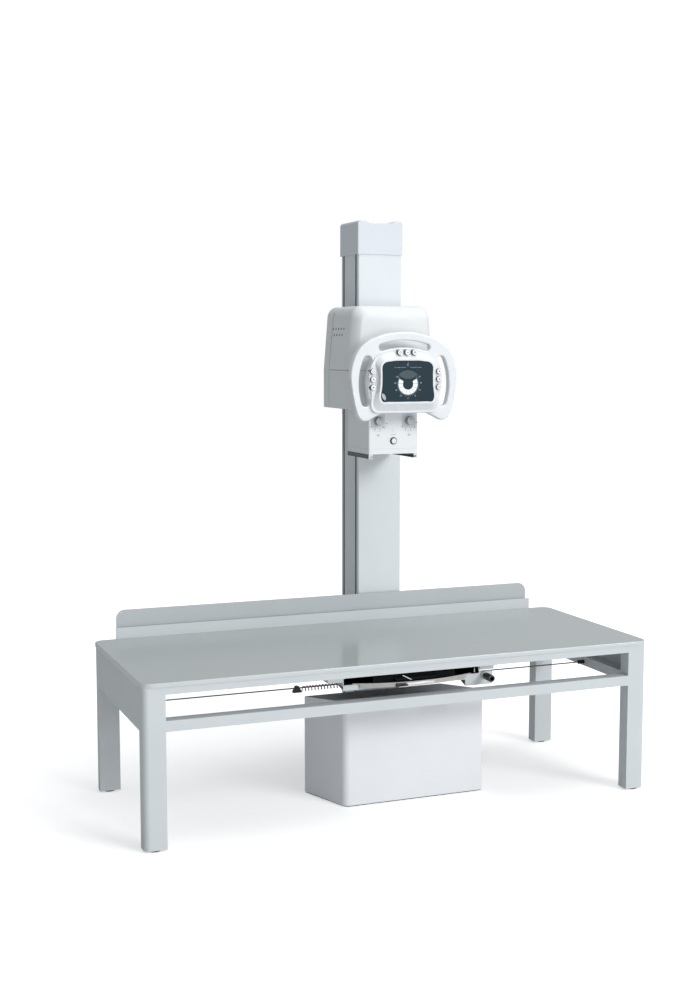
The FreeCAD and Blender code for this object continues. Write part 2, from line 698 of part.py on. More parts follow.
def make_curly_cord():
    """The coiled lead that hangs on the guide wire and the clip that slides with it."""
    y, wire = s.wire_place, s.table_height - s.wire_drop
    left = bucky_left - s.coil_gap
    bore = s.coil_radius - s.coil_wall
    z = wire - (bore - s.wire_radius - s.wire_play)
    tube = rod("CoilTube", "x", s.coil_radius, (left, y, z), s.coil_length)
    hole = rod("CoilBore", "x", bore, (left, y, z), s.coil_length)
    keep("curly_cord", cut("CurlyCord", tube, [hole]))
    low, high = z - s.clip_height / 2, z + s.clip_height / 2
    start = left - s.clip_length
    wedge = prism("ClipWedge", "XZ", [
        (start, low), (left, low), (left - s.clip_shoulder, high), (start + s.clip_shoulder, high)],
        s.clip_width, (0, y - s.clip_width / 2, 0))
    through = rod("ClipBore", "x", s.wire_radius + s.wire_play, (start, y, wire), s.clip_length)
    keep("cord_clip", cut("CordClip", wedge, [through]))


make_bucky_housing()
tray_top = make_tray()
make_tray_clamp(tray_top)
rail_places = make_guide_rails()
make_hangers(rail_places)
make_lock()
make_curly_cord()


# ---------------------------------------------------------------- column
column_left = s.column_centre - s.column_width / 2
column_right = s.column_centre + s.column_width / 2
column_back = s.column_front + s.column_depth
column_middle = (s.column_front + column_back) / 2
foot_top = s.foot_lift + s.foot_block_height


def make_trolley():
    """A T-shaped slider inside the travel rail, carrying the front of the column."""
    web, back, low, high, lip_low, lip_high = channel
    gap, t = s.trolley_gap, s.beam_sheet
    neck_low, neck_high = lip_low + gap, lip_high - gap
    head_back = back - t - gap
    plate = back + gap
    trolley = prism("column_trolley", "YZ", [
        (web + gap, low + t + gap), (head_back, low + t + gap), (head_back, neck_low),
        (plate, neck_low), (plate, low), (s.column_front, low),
        (s.column_front, high + s.trolley_rise), (plate, high + s.trolley_rise),
        (plate, neck_high), (head_back, neck_high), (head_back, high - t - gap),
        (web + gap, high - t - gap)],
        s.trolley_width, (s.column_centre - s.trolley_width / 2, 0, 0))
    keep("column_trolley", trolley)


def make_column_foot():
    """The base casting, with a slot and a fixed axle for each floor wheel."""
    spread = s.foot_block_spread
    left, right = column_left - spread, column_right + spread
    outline = rectangle((left, right), (s.column_front, column_back + spread / 2))
    foot = prism("FootBlock", "XY", outline, s.foot_block_height, (0, 0, s.foot_lift))
    soften(foot, "FootCorners", s.foot_block_corner, "z")
    wheel_z = s.wheel_radius + s.wheel_gap
    half = s.wheel_radius + s.wheel_slot_gap
    side = s.wheel_width / 2 + s.wheel_side_gap
    margin = half + s.wheel_slot_margin
    places = (left + margin, right - margin)
    for i, x in enumerate(places):
        pocket(foot, "XY", "WheelSlot%d" % i,
               rectangle((x - half, x + half), (column_middle - side, column_middle + side)),
               wheel_z + half - s.foot_lift)
    axles = [rod("WheelAxle%d" % i, "y", s.wheel_axle, (x, column_middle - side, wheel_z), side * 2)
             for i, x in enumerate(places)]
    keep("column_foot", join("ColumnFoot", [foot] + axles))
    for name, x in zip(("floor_wheel_left", "floor_wheel_right"), places):
        y = column_middle - s.wheel_width / 2
        tyre = rod(name + "Tyre", "y", s.wheel_radius, (x, y, wheel_z), s.wheel_width)
        bore = rod(name + "Bore", "y", s.wheel_axle + s.axle_clearance, (x, y, wheel_z),
                   s.wheel_width)
        ends = (number(y), number(y + s.wheel_width))
        shaped = rounded(name + "Round", tyre, s.wheel_round, None,
                         lambda p, found=ends: min(abs(p.y - end) for end in found) < 0.1)
        keep(name, cut(name + "Wheel", shaped, [bore]))


def make_column():
    """An extrusion with two guide grooves on each side and a slot up its back."""
    x0, x1, y0, y1 = column_left, column_right, s.column_front, column_back
    d, w, inset, t = s.groove_depth, s.groove_width, s.groove_inset, s.column_wall
    cx, slot = s.column_centre, s.rear_slot / 2
    rows = [(y0 + inset, y0 + inset + w), (y1 - inset - w, y1 - inset)]
    outline = [(cx - slot, y1), (x0, y1)]
    for low, high in reversed(rows):
        outline += [(x0, high), (x0 + d, high), (x0 + d, low), (x0, low)]
    outline += [(x0, y0), (x1, y0)]
    for low, high in rows:
        outline += [(x1, low), (x1 - d, low), (x1 - d, high), (x1, high)]
    outline += [(x1, y1), (cx + slot, y1), (cx + slot, y1 - t), (x1 - t, y1 - t),
                (x1 - t, y0 + t), (x0 + t, y0 + t), (x0 + t, y1 - t), (cx - slot, y1 - t)]
    column = prism("column_extrusion", "XY", outline, s.column_top - foot_top, (0, 0, foot_top))
    corners = [(number(x), number(y)) for x in (x0, x1) for y in (y0, y1)]
    soften(column, "ColumnCorners", s.column_corner, "z",
           lambda p: any(abs(p.x - x) + abs(p.y - y) < 0.2 for x, y in corners))
    keep("column_extrusion", column)


def make_cap():
    """A moulded cap with a raised cheek on each side, lapping over the extrusion."""
    skirt, low = s.cap_skirt, s.column_top - s.cap_lap
    high = low + s.cap_height
    left, right = column_left - skirt, column_right + skirt
    cheek, dip = s.cap_cheek, s.cap_dip
    front = s.column_front - skirt
    cap = prism("column_cap", "XZ", [
        (left, low), (right, low), (right, high), (right - cheek, high),
        (right - cheek - dip * 2, high - dip), (left + cheek + dip * 2, high - dip),
        (left + cheek, high), (left, high)],
        s.column_depth + skirt * 2, (0, front, 0))
    sides = (number(left), number(right))
    soften(cap, "CapShoulders", s.cap_corner, "y",
           lambda p: p.z > number(high) - 1 and min(abs(p.x - x) for x in sides) < 0.1)
    soften(cap, "CapFrontEdge", s.cap_corner / 3, "x",
           lambda p: p.z > number(high - dip) - 1 and p.y < 1)
    mouth = block("CapMouth", (column_left, column_right), (s.column_front, column_back),
                  (low, s.column_top))
    sheet = s.cap_sheet
    room = block("CapRoom", (column_left + sheet, column_right - sheet),
                 (s.column_front + sheet, column_back - sheet), (s.column_top, high - dip - sheet))
    keep("column_cap", cut("ColumnCap", cap, [mouth, room]))


def make_lift():
    """Toothed belt over two pulleys, with the balance weight on its front run."""
    x, y = s.column_centre, column_middle
    levels = {"top_pulley": s.column_top - s.top_pulley_drop,
              "bottom_pulley": foot_top + s.bottom_pulley_rise}
    axles = []
    for name, z in levels.items():
        half = s.pulley_width / 2
        flange = s.pulley_flange_width
        core = rod(name + "Core", "x", s.pulley_radius, (x - half, y, z), s.pulley_width)
        rims = [rod(name + "Rim%d" % i, "x", s.pulley_radius + s.belt_thickness + s.pulley_flange,
                    (start, y, z), flange)
                for i, start in enumerate((x - half - flange, x + half))]
        bore = rod(name + "Bore", "x", s.axle_radius + s.axle_clearance,
                   (x - half - flange, y, z), s.pulley_width + flange * 2)
        holes = []
        ring = s.pulley_radius * s.pulley_ring_share
        count = int(number(s.pulley_hole_count))
        for i in range(count):
            turn = 2 * math.pi * i / count
            holes.append(rod(name + "Hole%d" % i, "x", s.pulley_radius * s.pulley_hole_share,
                             (x - half - flange, y + ring * math.cos(turn),
                              z + ring * math.sin(turn)), s.pulley_width + flange * 2))
        keep(name, cut(name + "Wheel", join(name + "Blank", [core] + rims), [bore] + holes))
        axles.append(rod(name + "Axle", "x", s.axle_radius,
                         (column_left + s.column_wall, y, z),
                         s.column_width - s.column_wall * 2))
    keep("pulley_axles", group("PulleyAxles", axles))
    keep("lift_belt", cut("LiftBelt", belt_loop("BeltOuter", s.belt_thickness + s.belt_lift, levels),
                          [belt_loop("BeltInner", s.belt_lift, levels)]))
    play = s.belt_play
    run = y - s.pulley_radius
    front = s.column_front + s.column_wall + play
    weight = block("WeightBlank", (x - s.weight_width / 2, x + s.weight_width / 2),
                   (front, front + s.weight_depth),
                   (s.weight_bottom, s.weight_bottom + s.weight_height))
    weight = chamfered("WeightChamfer", weight, s.weight_chamfer, "z")
    channel_cut = block("WeightChannel", (x - s.belt_width / 2 - play, x + s.belt_width / 2 + play),
                        (run - s.belt_thickness - play, run + play),
                        (s.weight_bottom, s.weight_bottom + s.weight_height))
    keep("counterweight", cut("Counterweight", weight, [channel_cut]))


def belt_loop(name, offset, levels):
    x = s.column_centre - s.belt_width / 2
    radius = s.pulley_radius + offset
    low, high = levels["bottom_pulley"], levels["top_pulley"]
    return join(name, [
        rod(name + "Top", "x", radius, (x, column_middle, high), s.belt_width),
        rod(name + "Bottom", "x", radius, (x, column_middle, low), s.belt_width),
        block(name + "Runs", (x, x + s.belt_width), (column_middle - radius, column_middle + radius),
              (low, high))])


make_trolley()
make_column_foot()
make_column()
make_cap()
make_lift()


# ---------------------------------------------------------------- carriage
carriage_top = s.carriage_bottom + s.carriage_height
bridge_front = s.column_front - s.column_gap - s.front_bridge
slide_low = s.slide_level - s.slide_height / 2
slide_high = s.slide_level + s.slide_height / 2
cheek_step = slide_high + s.slide_gap + s.cheek_wall


def cheek_faces(side):
    """Inner and outer X of the cheek on one side of the column."""
    inner = s.column_width / 2 + s.cheek_gap
    outer = inner + s.cheek_width
    return s.column_centre + inner * side, s.column_centre + outer * side


def ordered(a, b):
    return (a, b) if number(a) < number(b) else (b, a)


def make_carriage():
    """A saddle round the column: two cheeks that hold the slides and narrow above them,
    a bridge in front and one behind."""
    rear = column_back + s.rear_gap
    height = (s.carriage_bottom, carriage_top)
    pieces = []
    for i, side in enumerate((-1, 1)):
        inner, outer = cheek_faces(side)
        wall = s.cheek_wall * side
        narrow = inner + s.cheek_top_width * side
        run = (bridge_front, rear + s.rear_bridge)
        cheek = chamfered("CheekEdge%d" % i,
                          block("Cheek%d" % i, ordered(inner, outer), run,
                                (s.carriage_bottom, cheek_step)),
                          s.cheek_chamfer, "z", lambda p, o=number(outer): abs(p.x - o) < 0.1
                          and p.y > number(column_middle))
        pieces.append(block("CheekTop%d" % i, ordered(inner, narrow), run,
                            (cheek_step, carriage_top)))
        void = block("CheekVoid%d" % i, ordered(inner + wall, outer - wall),
                     (bridge_front, rear), (slide_low - s.slide_gap, slide_high + s.slide_gap))
        pieces.append(cut("CheekTube%d" % i, cheek, [void]))
    span = (cheek_faces(-1)[0], cheek_faces(1)[0])
    pieces.append(block("FrontBridge", span, (bridge_front, bridge_front + s.front_bridge), height))
    pieces.append(block("RearBridge", span, (rear, rear + s.rear_bridge), height))
    lug = s.rear_slot / 2 - s.lug_gap
    belt_back = column_middle + s.pulley_radius + s.belt_thickness + s.belt_gap
    pieces.append(block("BeltLug", (s.column_centre - lug, s.column_centre + lug),
                        (belt_back, rear),
                        (s.slide_level - s.lug_reach, s.slide_level + s.lug_reach)))
    keep("carriage_frame", join("CarriageFrame", pieces))
    shoes = []
    for i, side in enumerate((-1, 1)):
        inner = cheek_faces(side)[0]
        tip = inner - (s.cheek_gap + s.groove_depth - s.shoe_play) * side
        for j, y in enumerate((s.column_front + s.groove_inset,
                               column_back - s.groove_inset - s.groove_width)):
            for k, z in enumerate((s.carriage_bottom + s.shoe_margin,
                                   carriage_top - s.shoe_margin - s.shoe_length)):
                shoes.append(block("Shoe%d%d%d" % (i, j, k), ordered(tip, inner),
                                   (y + s.shoe_play, y + s.groove_width - s.shoe_play),
                                   (z, z + s.shoe_length)))
    keep("guide_shoes", group("GuideShoes", shoes))


def make_arm():
    """Two nested slides in each cheek carry the plate, the hub and the rear cover."""
    front = bridge_front - s.arm_plate_gap
    back = column_back
    middles, inners = [], []
    for i, side in enumerate((-1, 1)):
        outer = cheek_faces(side)[1]
        a = outer - (s.cheek_wall + s.slide_gap) * side
        b = a - s.mid_slide_width * side
        c = b - s.slide_gap * side
        d = c - s.mid_slide_width * side
        middles.append(block("MiddleSlide%d" % i, ordered(a, b),
                             (bridge_front + s.slide_tip_gap, back), (slide_low, slide_high)))
        inners.append(block("InnerSlide%d" % i, ordered(c, d), (front, back),
                            (slide_low, slide_high)))
    keep("arm_middle_slides", group("ArmMiddleSlides", middles))
    low, high = s.swivel_level - s.arm_plate_height / 2, s.swivel_level + s.arm_plate_height / 2
    plate_front = front - s.arm_plate
    left, right = cheek_faces(-1)[1], cheek_faces(1)[1]
    taper = s.arm_plate_taper
    plate = prism("ArmPlate", "XZ", [
        (left, low), (right, low), (right, cheek_step), (right - taper, high),
        (left + taper, high), (left, cheek_step)], s.arm_plate, (0, plate_front, 0))
    hub_front = s.head_back + s.hub_gap
    hub = rod("Hub", "y", s.hub_radius, (s.head_centre, hub_front, s.swivel_level),
              plate_front - hub_front)
    bore = rod("HubBore", "y", s.shaft_radius + s.shaft_clearance,
               (s.head_centre, hub_front, s.swivel_level), front - hub_front)
    keep("arm_frame", cut("ArmFrame", join("ArmBlank", [plate, hub] + inners), [bore]))
    return plate_front


def hood_outline(inset):
    """Front view of the head: straight below the seam, drawn in above it."""
    half = s.head_half_width - inset
    top = half - s.hood_taper
    x = s.head_centre
    return [(x - half, s.hood_bottom + inset), (x + half, s.hood_bottom + inset),
            (x + half, s.hood_seam), (x + top, s.hood_top - inset),
            (x - top, s.hood_top - inset), (x - half, s.hood_seam)]


def hood_block(name, inset, y0, y1):
    """The head's outline run from one Y to another, its shoulders rounded."""
    block_body = prism(name, "XZ", hood_outline(inset), y1 - y0, (0, y0, 0))
    soften(block_body, name + "Shoulders", s.hood_shoulder - inset, "y",
           lambda p: p.z > number(s.hood_top - inset) - 1)
    return block_body


def make_arm_cover(plate_front):
    """A shroud behind the head, and a wing behind it on each side of the column."""
    front, gap = s.head_back + s.cover_gap, s.cover_notch_gap
    seam = s.column_front - gap
    hole = rod("CoverHole", "y", s.hub_radius + s.cover_hole_gap,
               (s.head_centre, front, s.swivel_level), plate_front - front)
    shroud = cut("CoverShroud", hood_block("ShroudOuter", 0, front, seam),
                 [hood_block("ShroudInner", s.shell, plate_front, seam), hole])
    wing_front = seam + s.cover_seam
    notch = block("CoverNotch", (column_left - gap, column_right + gap),
                  (wing_front, s.cover_back), (s.hood_bottom, s.hood_top))
    wings = cut("CoverWings", hood_block("WingOuter", 0, wing_front, s.cover_back),
                [hood_block("WingInner", s.shell, wing_front, s.cover_back), notch])
    keep("arm_cover", group("ArmCover", [shroud, wings]))


make_carriage()
arm_plate_front = make_arm()
make_arm_cover(arm_plate_front)


# ---------------------------------------------------------------- tube head
head_depth = s.head_back - s.back_plate - s.head_front
beam_y = s.collimator_front + s.collimator_depth / 2


def hood_form(name, inset, bevel):
    """The upper hood's outer form: rounded shoulders, then a bevel round the front."""
    x, top = s.head_centre, s.hood_top - inset
    half, narrow = s.head_half_width - inset, s.head_half_width - s.hood_taper - inset
    body = prism(name, "XZ", [(x - half, s.hood_seam), (x + half, s.hood_seam),
                              (x + narrow, top), (x - narrow, top)],
                 head_depth - inset, (0, s.head_front + inset, 0))
    soften(body, name + "Shoulders", s.hood_shoulder - inset, "y",
           lambda p: p.z > number(top) - 1)
    edge = number(half) - 0.1
    base = body.Tip
    bevels = body.newObject("PartDesign::Chamfer", name + "Bevel")
    bevels.Base = (base, ["Edge%d" % i for i in edges(
        base.Shape, None, lambda p: p.y < 0.1 and (p.z > number(s.hood_seam) + 1
                                                   or abs(p.x - number(x)) > edge))])
    bind(bevels, "Size", bevel)
    body.Tip = bevels
    doc.recompute()
    return body


def make_hood_upper():
    wall = s.shell
    outer = hood_form("HoodOuter", 0, s.hood_bevel)
    inner = hood_form("HoodInner", wall, s.hood_bevel - wall * (2 - math.sqrt(2)))
    vents = []
    middle = s.head_front + head_depth * s.vent_share
    for row, count in enumerate((5, 4)):
        z = s.vent_level - s.vent_row_gap * row
        for i in range(count):
            y = middle + s.vent_pitch * (i - (count - 1) / 2)
            left = s.head_centre - s.head_half_width
            vents.append(rod("Vent%d%d" % (row, i), "x", s.vent_radius, (left, y, z),
                             s.hood_taper + wall * 2))
    keep("hood_upper", cut("HoodUpper", outer, [inner] + vents))


def make_hood_lower():
    """A tray-shaped shell under the seam with an opening for the beam."""
    wall, x = s.shell, s.head_centre
    half = s.head_half_width
    top = s.hood_seam - s.hood_gap
    outer = block("LowerOuter", (x - half, x + half), (s.head_front, s.head_back - s.back_plate),
                  (s.hood_bottom, top))
    outer = rounded("LowerEdges", outer, s.hood_edge, None,
                    lambda p: p.y < number(s.head_front) + 0.1 and (
                        abs(abs(p.x - number(x)) - number(half)) < 0.1))
    inner = block("LowerInner", (x - half + wall, x + half - wall),
                  (s.head_front + wall, s.head_back - s.back_plate), (s.hood_bottom + wall, top))
    port = rod("LowerPort", "z", s.tube_port_radius + s.port_gap, (x, beam_y, s.hood_bottom), wall)
    keep("hood_lower", cut("HoodLower", outer, [inner, port]))


def make_back_plate():
    """The plate that closes the head, with the swivel shaft and the tube's bracket."""
    x, z, front = s.head_centre, s.swivel_level, s.head_back - s.back_plate
    plate = hood_block("BackPlate", 0, front, s.head_back)
    shaft = rod("SwivelShaft", "y", s.shaft_radius, (x, s.head_back, z), s.shaft_length)
    low, high = s.tube_level - s.bracket_half, s.tube_level + s.bracket_half
    arm = block("TubeBracket", (x - s.bracket_half, x + s.bracket_half), (beam_y, front),
                (low, high))
    seat = rod("TubeSeat", "x", s.tube_radius, (x - s.bracket_half, beam_y, s.tube_level),
               s.bracket_half * 2)
    saddle = cut("TubeSaddle", arm, [seat])
    keep("head_back_plate", join("HeadBackPlate", [plate, shaft, saddle]))


def make_tube_housing():
    """A can with domed ends, a cable receptacle near each end and the beam port."""
    x, z = s.head_centre, s.tube_level
    left = x - s.tube_length / 2
    ends = (number(left), number(left + s.tube_length))
    can = rounded("TubeCan", rod("TubeBarrel", "x", s.tube_radius, (left, beam_y, z),
                                 s.tube_length),
                  s.tube_bell, None, lambda p: min(abs(p.x - e) for e in ends) < 0.1)
    inset = s.tube_length * s.receptacle_share
    horns = [rod("Receptacle%d" % i, "z", s.receptacle_radius, (spot, beam_y, z),
                 s.tube_radius + s.receptacle_length)
             for i, spot in enumerate((left + inset, left + s.tube_length - inset))]
    base = s.hood_bottom + s.shell + s.port_lift
    port = rod("BeamPort", "z", s.tube_port_radius, (x, beam_y, base), z - base)
    keep("tube_housing", join("TubeHousing", [can, port] + horns))


def make_collimator():
    """The beam limiter: a box under the head with an aperture and a clear window."""
    x, wall = s.head_centre, s.collimator_sheet
    half, front = s.collimator_width / 2, s.collimator_front
    back, low, high = front + s.collimator_depth, s.collimator_bottom, s.hood_bottom
    outer = rounded("CollimatorBox", block("CollimatorBlank", (x - half, x + half),
                                           (front, back), (low, high)),
                    s.collimator_corner, "z")
    inner = block("CollimatorRoom", (x - half + wall, x + half - wall),
                  (front + wall, back - wall), (low + wall, high - wall))
    gap = s.collimator_aperture / 2
    aperture = block("CollimatorAperture", (x - gap, x + gap), (beam_y - gap, beam_y + gap),
                     (low, low + wall))
    holes = [inner, aperture,
             rod("CollimatorPort", "z", s.tube_port_radius, (x, beam_y, high - wall), wall),
             rod("LampHole", "y", s.lamp_radius + s.lamp_hole_gap, (x, front, s.lamp_level), wall)]
    spots = (x - s.knob_spacing / 2, x + s.knob_spacing / 2)
    for i, spot in enumerate(spots):
        holes.append(rod("KnobHole%d" % i, "y", s.knob_shaft + s.axle_clearance,
                         (spot, front, s.knob_level), wall))
    keep("collimator_housing", cut("CollimatorHousing", outer, holes))
    edge = gap + s.window_margin
    keep("collimator_window", block("collimator_window", (x - edge, x + edge),
                                    (beam_y - edge, beam_y + edge),
                                    (low + wall, low + wall + s.window_thickness)))
    for name, spot in zip(("knob_left", "knob_right"), spots):
        face = front - s.knob_gap
        start = number(face - s.knob_length)
        grip = rounded(name + "Grip", rod(name + "Barrel", "y", s.knob_radius,
                                          (spot, face - s.knob_length, s.knob_level),
                                          s.knob_length),
                       s.knob_cap, None, lambda p, y=start: abs(p.y - y) < 0.1)
        shaft = rod(name + "Shaft", "y", s.knob_shaft, (spot, face, s.knob_level),
                    s.knob_gap + wall + s.knob_recess)
        keep(name, join(name + "Solid", [grip, shaft]))
    start = number(front - s.lamp_length)
    button = rod("LampBarrel", "y", s.lamp_radius, (x, front - s.lamp_length, s.lamp_level),
                 s.lamp_length + wall + s.button_travel)
    keep("lamp_button", rounded("LampButton", button, s.lamp_round, None,
                                lambda p: abs(p.y - start) < 0.1))
    rails = []
    depth, slot, lip = s.rack_width, s.rack_slot, s.rack_lip
    rail_low = low - s.rack_height
    for i, side in enumerate((-1, 1)):
        outer_x = x + half * side
        inner_x = outer_x - depth * side
        groove = inner_x + s.rack_groove * side
        points = [(outer_x, rail_low), (inner_x, rail_low), (inner_x, rail_low + lip),
                  (groove, rail_low + lip), (groove, rail_low + lip + slot),
                  (inner_x, rail_low + lip + slot), (inner_x, low), (outer_x, low)]
        rails.append(prism("AccessoryRail%d" % i, "XZ", points, s.collimator_depth,
                           (0, front, 0)))
    keep("accessory_rails", group("AccessoryRails", rails))


make_hood_upper()
make_hood_lower()
make_back_plate()
make_tube_housing()
make_collimator()




# ---------------------------------------------------------------- control panel
# Each outline is half of a mirrored one: shares of the panel's half width and height,
# from the top centre down its right side.
RIM_SHARES = [(0, 0), (0.231, 0.012), (0.507, 0.056), (0.778, 0.145), (0.933, 0.292),
              (0.997, 0.46), (0.969, 0.682), (0.893, 0.893), (0.83, 0.972), (0.747, 0.999),
              (0.66, 0.987), (0.609, 0.968)]
STEP_SHARES = [(0.427, 0.913)]
TERRACE_SHARES = [(0, 0.205), (0.422, 0.237), (0.569, 0.298), (0.655, 0.402), (0.685, 0.54),
                  (0.635, 0.74), (0.645, 0.825), (0.6, 0.887), (0.44, 0.906), (0, 0.908)]
POD_SHARES = [(0, 0.208), (0.27, 0.214), (0.49, 0.26), (0.59, 0.352), (0.53, 0.449),
              (0.511, 0.536), (0.533, 0.626), (0.6, 0.73), (0.632, 0.82), (0.58, 0.882),
              (0.43, 0.902), (0, 0.904)]
BEZEL_SHARES = [(0, 0.302), (0.12, 0.302), (0.225, 0.303), (0.33, 0.311), (0.43, 0.325),
                (0.497, 0.368), (0.508, 0.446), (0.507, 0.527), (0.511, 0.605), (0.529, 0.683),
                (0.527, 0.75), (0.484, 0.795), (0.391, 0.802), (0.26, 0.802), (0, 0.802)]
panel_x, panel_w = number(s.head_centre), number(s.panel_half_width)
panel_top, panel_h = number(s.panel_top), number(s.panel_height)
slot_reach = number(s.grip_bar + s.grip_gap / 2)
top_slot_reach = number(s.grip_bar + s.top_grip_gap / 2)
panel_face = number(s.panel_front)
terrace_face = panel_face - number(s.panel_step)
bezel_face = panel_face - number(s.panel_bulge)
panel_seam = panel_face + number(s.panel_rim_depth)


def both_sides(shares, y):
    """The right half's points and the left half's, in order round the outline."""
    right = [Vector(panel_x + u * panel_w, y, panel_top - v * panel_h) for u, v in shares]
    left = [Vector(2 * panel_x - p.x, y, p.z) for p in reversed(right) if p.x > panel_x + 0.1]
    return right, left


def smooth_loop(shares, y, inset=0):
    """A closed curve through an outline's points, each moved inwards by the inset."""
    right, left = both_sides(shares, y)
    points = right + left
    moved = []
    for i, point in enumerate(points):
        run = points[(i + 1) % len(points)] - points[i - 1]
        inwards = Vector(0, 1, 0).cross(run).normalize()
        moved.append(point + inwards * inset)
    curve = Part.BSplineCurve()
    curve.interpolate(moved, PeriodicFlag=True)
    return Part.Wire(curve.toShape())


def rim_loop(y):
    """The handle's outline: one curve over the top and a straight, stepped bottom edge."""
    right, left = both_sides(RIM_SHARES, y)
    over = Part.BSplineCurve()
    over.interpolate(left + right)
    step_right, step_left = both_sides(STEP_SHARES, y)
    corners = [right[-1]] + step_right + step_left + [left[0]]
    lines = [Part.makeLine(a, b) for a, b in zip(corners, corners[1:])]
    return Part.Wire([over.toShape()] + lines)


def slab(wire, depth):
    return Part.Face(wire).extrude(Vector(0, depth, 0))


def grip_slots(y, depth):
    """Three curved slots with round ends that leave the grip bars outside them."""
    halves = [number(s.top_grip_gap) / 2] + [number(s.grip_gap) / 2] * 2
    bend, rise = number(s.grip_bend), number(s.grip_length) / 2
    x, top, level = panel_w - slot_reach, panel_top - top_slot_reach, number(s.grip_level)
    reach = number(s.top_grip) / 2
    top_lean, foot_lean = number(s.grip_top_lean_share), number(s.grip_foot_lean_share)
    lines = [((-reach, top - bend), (0, top), (reach, top - bend))]
    for side in (-1, 1):
        lines.append(((side * (x - bend * top_lean), level + rise), (side * x, level),
                      (side * (x - bend * foot_lean), level - rise)))
    slots = []
    for line, half in zip(lines, halves):
        arc = Part.Arc(*[Vector(panel_x + u, y, z) for u, z in line])
        slots.append(slab(Part.Wire(arc.toShape()).makeOffset2D(half), depth))
    return slots


def slotted_ring(y, depth, radius, soft_y):
    """The handle's outline with its slots, the edges at one face rounded."""
    ring = slab(rim_loop(y), depth)
    for slot in grip_slots(y, depth):
        ring = ring.cut(slot)
    edge = edges(ring, None, lambda p: abs(p.y - soft_y) < 0.01)
    return ring.makeFillet(radius, [ring.Edges[i - 1] for i in edge])


def button_places():
    """Name, x, z and front face of each button: two columns and a row on top."""
    inset = number(s.grip_bar + s.grip_gap + s.button_inset)
    level, pitch, rise = number(s.button_level), number(s.button_pitch), number(s.button_rise)
    places = []
    for word, side in (("left", -1), ("right", 1)):
        for i, spot in enumerate(("upper", "middle", "lower")):
            places.append(("button_%s_%s" % (word, spot), panel_x + side * (panel_w - inset),
                           level + pitch * (1 - i), terrace_face - rise))
    for i, spot in enumerate(("left", "middle", "right")):
        places.append(("button_top_" + spot, panel_x + pitch * (i - 1),
                       panel_top - number(s.top_button_drop),
                       terrace_face - number(s.button_step) - rise))
    return places


def make_panel():
    """Handle ring, terrace for the side buttons, and the pod that frames the display."""
    front = slotted_ring(panel_face, panel_seam - panel_face, number(s.panel_edge), panel_face)
    terrace = slab(smooth_loop(TERRACE_SHARES, terrace_face), panel_seam - terrace_face)
    root = terrace_face + number(s.panel_step) / 2
    foot, face = smooth_loop(POD_SHARES, root), smooth_loop(BEZEL_SHARES, bezel_face)
    crown = Part.makeLoft([foot, face], True)
    front = front.fuse(terrace)
    front = front.fuse(crown)
    window = smooth_loop(BEZEL_SHARES, bezel_face, number(s.display_rim))
    recess = smooth_loop(BEZEL_SHARES, bezel_face, number(s.display_rim - s.display_gap))
    deep = number(s.display_recess + s.display_thickness)
    front = front.cut(slab(recess, deep))
    hole = number(s.button_radius + s.button_gap)
    for name, x, z, y in button_places():
        front = front.cut(Part.makeCylinder(hole, panel_seam - y, Vector(x, y, z),
                                            Vector(0, 1, 0)))
    keep("panel_front", solid("PanelFront", front))
    pane = slab(window, number(s.display_thickness))
    keep("display_window", solid("DisplayWindow", pane, Vector(0, number(s.display_recess), 0)))


def make_panel_back():
    """The rear half of the handle and the neck that carries it on the head."""
    deep = number(s.panel_back_depth)
    shell = slotted_ring(panel_seam, deep, number(s.panel_back_edge), panel_seam + deep)
    low, width, height = number(s.neck_bottom), number(s.neck_width), number(s.neck_height)
    neck = Part.makeBox(width, number(s.head_front) - panel_seam, height,
                        Vector(panel_x - width / 2, panel_seam, low))
    neck = neck.makeFillet(number(s.neck_round), [neck.Edges[i - 1] for i in edges(neck, "y")])
    keep("panel_back", solid("PanelBack", shell.fuse(neck)))


def make_buttons():
    for name, x, z, y in button_places():
        length = panel_seam - y - number(s.button_travel) * 2
        barrel = rod(name + "Barrel", "y", s.button_radius, (x, y, z), length)
        keep(name, rounded(name + "Cap", barrel, s.button_round, None,
                           lambda p, front=y: abs(p.y - front) < 0.1))


make_panel()
make_panel_back()
make_buttons()




# ---------------------------------------------------------------- output
def check_and_write():
    doc.recompute()
    for thing in doc.Objects:
        if "Invalid" in thing.State or "Error" in thing.State:
            raise RuntimeError("failed object: %s %s" % (thing.Name, thing.State))
    os.makedirs("parts", exist_ok=True)
    for name, thing in parts.items():
        shape = thing.Shape
        if shape.isNull() or not shape.isValid():
            raise RuntimeError("bad shape: " + name)
        shape.exportStep("parts/%s.step" % name)
        box = shape.BoundBox
        print("%-22s %8.0f cm3  x %7.1f %7.1f  y %7.1f %7.1f  z %7.1f %7.1f" % (
            name, shape.Volume / 1000, box.XMin, box.XMax, box.YMin, box.YMax,
            box.ZMin, box.ZMax))
    print(len(parts), "sub-parts")


check_and_write()
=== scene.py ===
import json
import math
import bmesh
import bpy
from mathutils import Matrix, Vector


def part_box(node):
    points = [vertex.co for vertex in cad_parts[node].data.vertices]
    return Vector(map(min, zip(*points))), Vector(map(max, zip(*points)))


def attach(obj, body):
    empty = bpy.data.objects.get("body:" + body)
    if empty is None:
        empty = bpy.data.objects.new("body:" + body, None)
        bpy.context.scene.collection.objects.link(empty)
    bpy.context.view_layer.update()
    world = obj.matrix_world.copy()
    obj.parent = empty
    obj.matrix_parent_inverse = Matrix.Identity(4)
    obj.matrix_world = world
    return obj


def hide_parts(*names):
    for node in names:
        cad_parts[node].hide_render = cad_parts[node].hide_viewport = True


# Radiography table with a rail-guided tube stand. Metres, in the CAD frame:
# origin on the floor under the tabletop's centre, +X to the right, +Y to the column, +Z up.

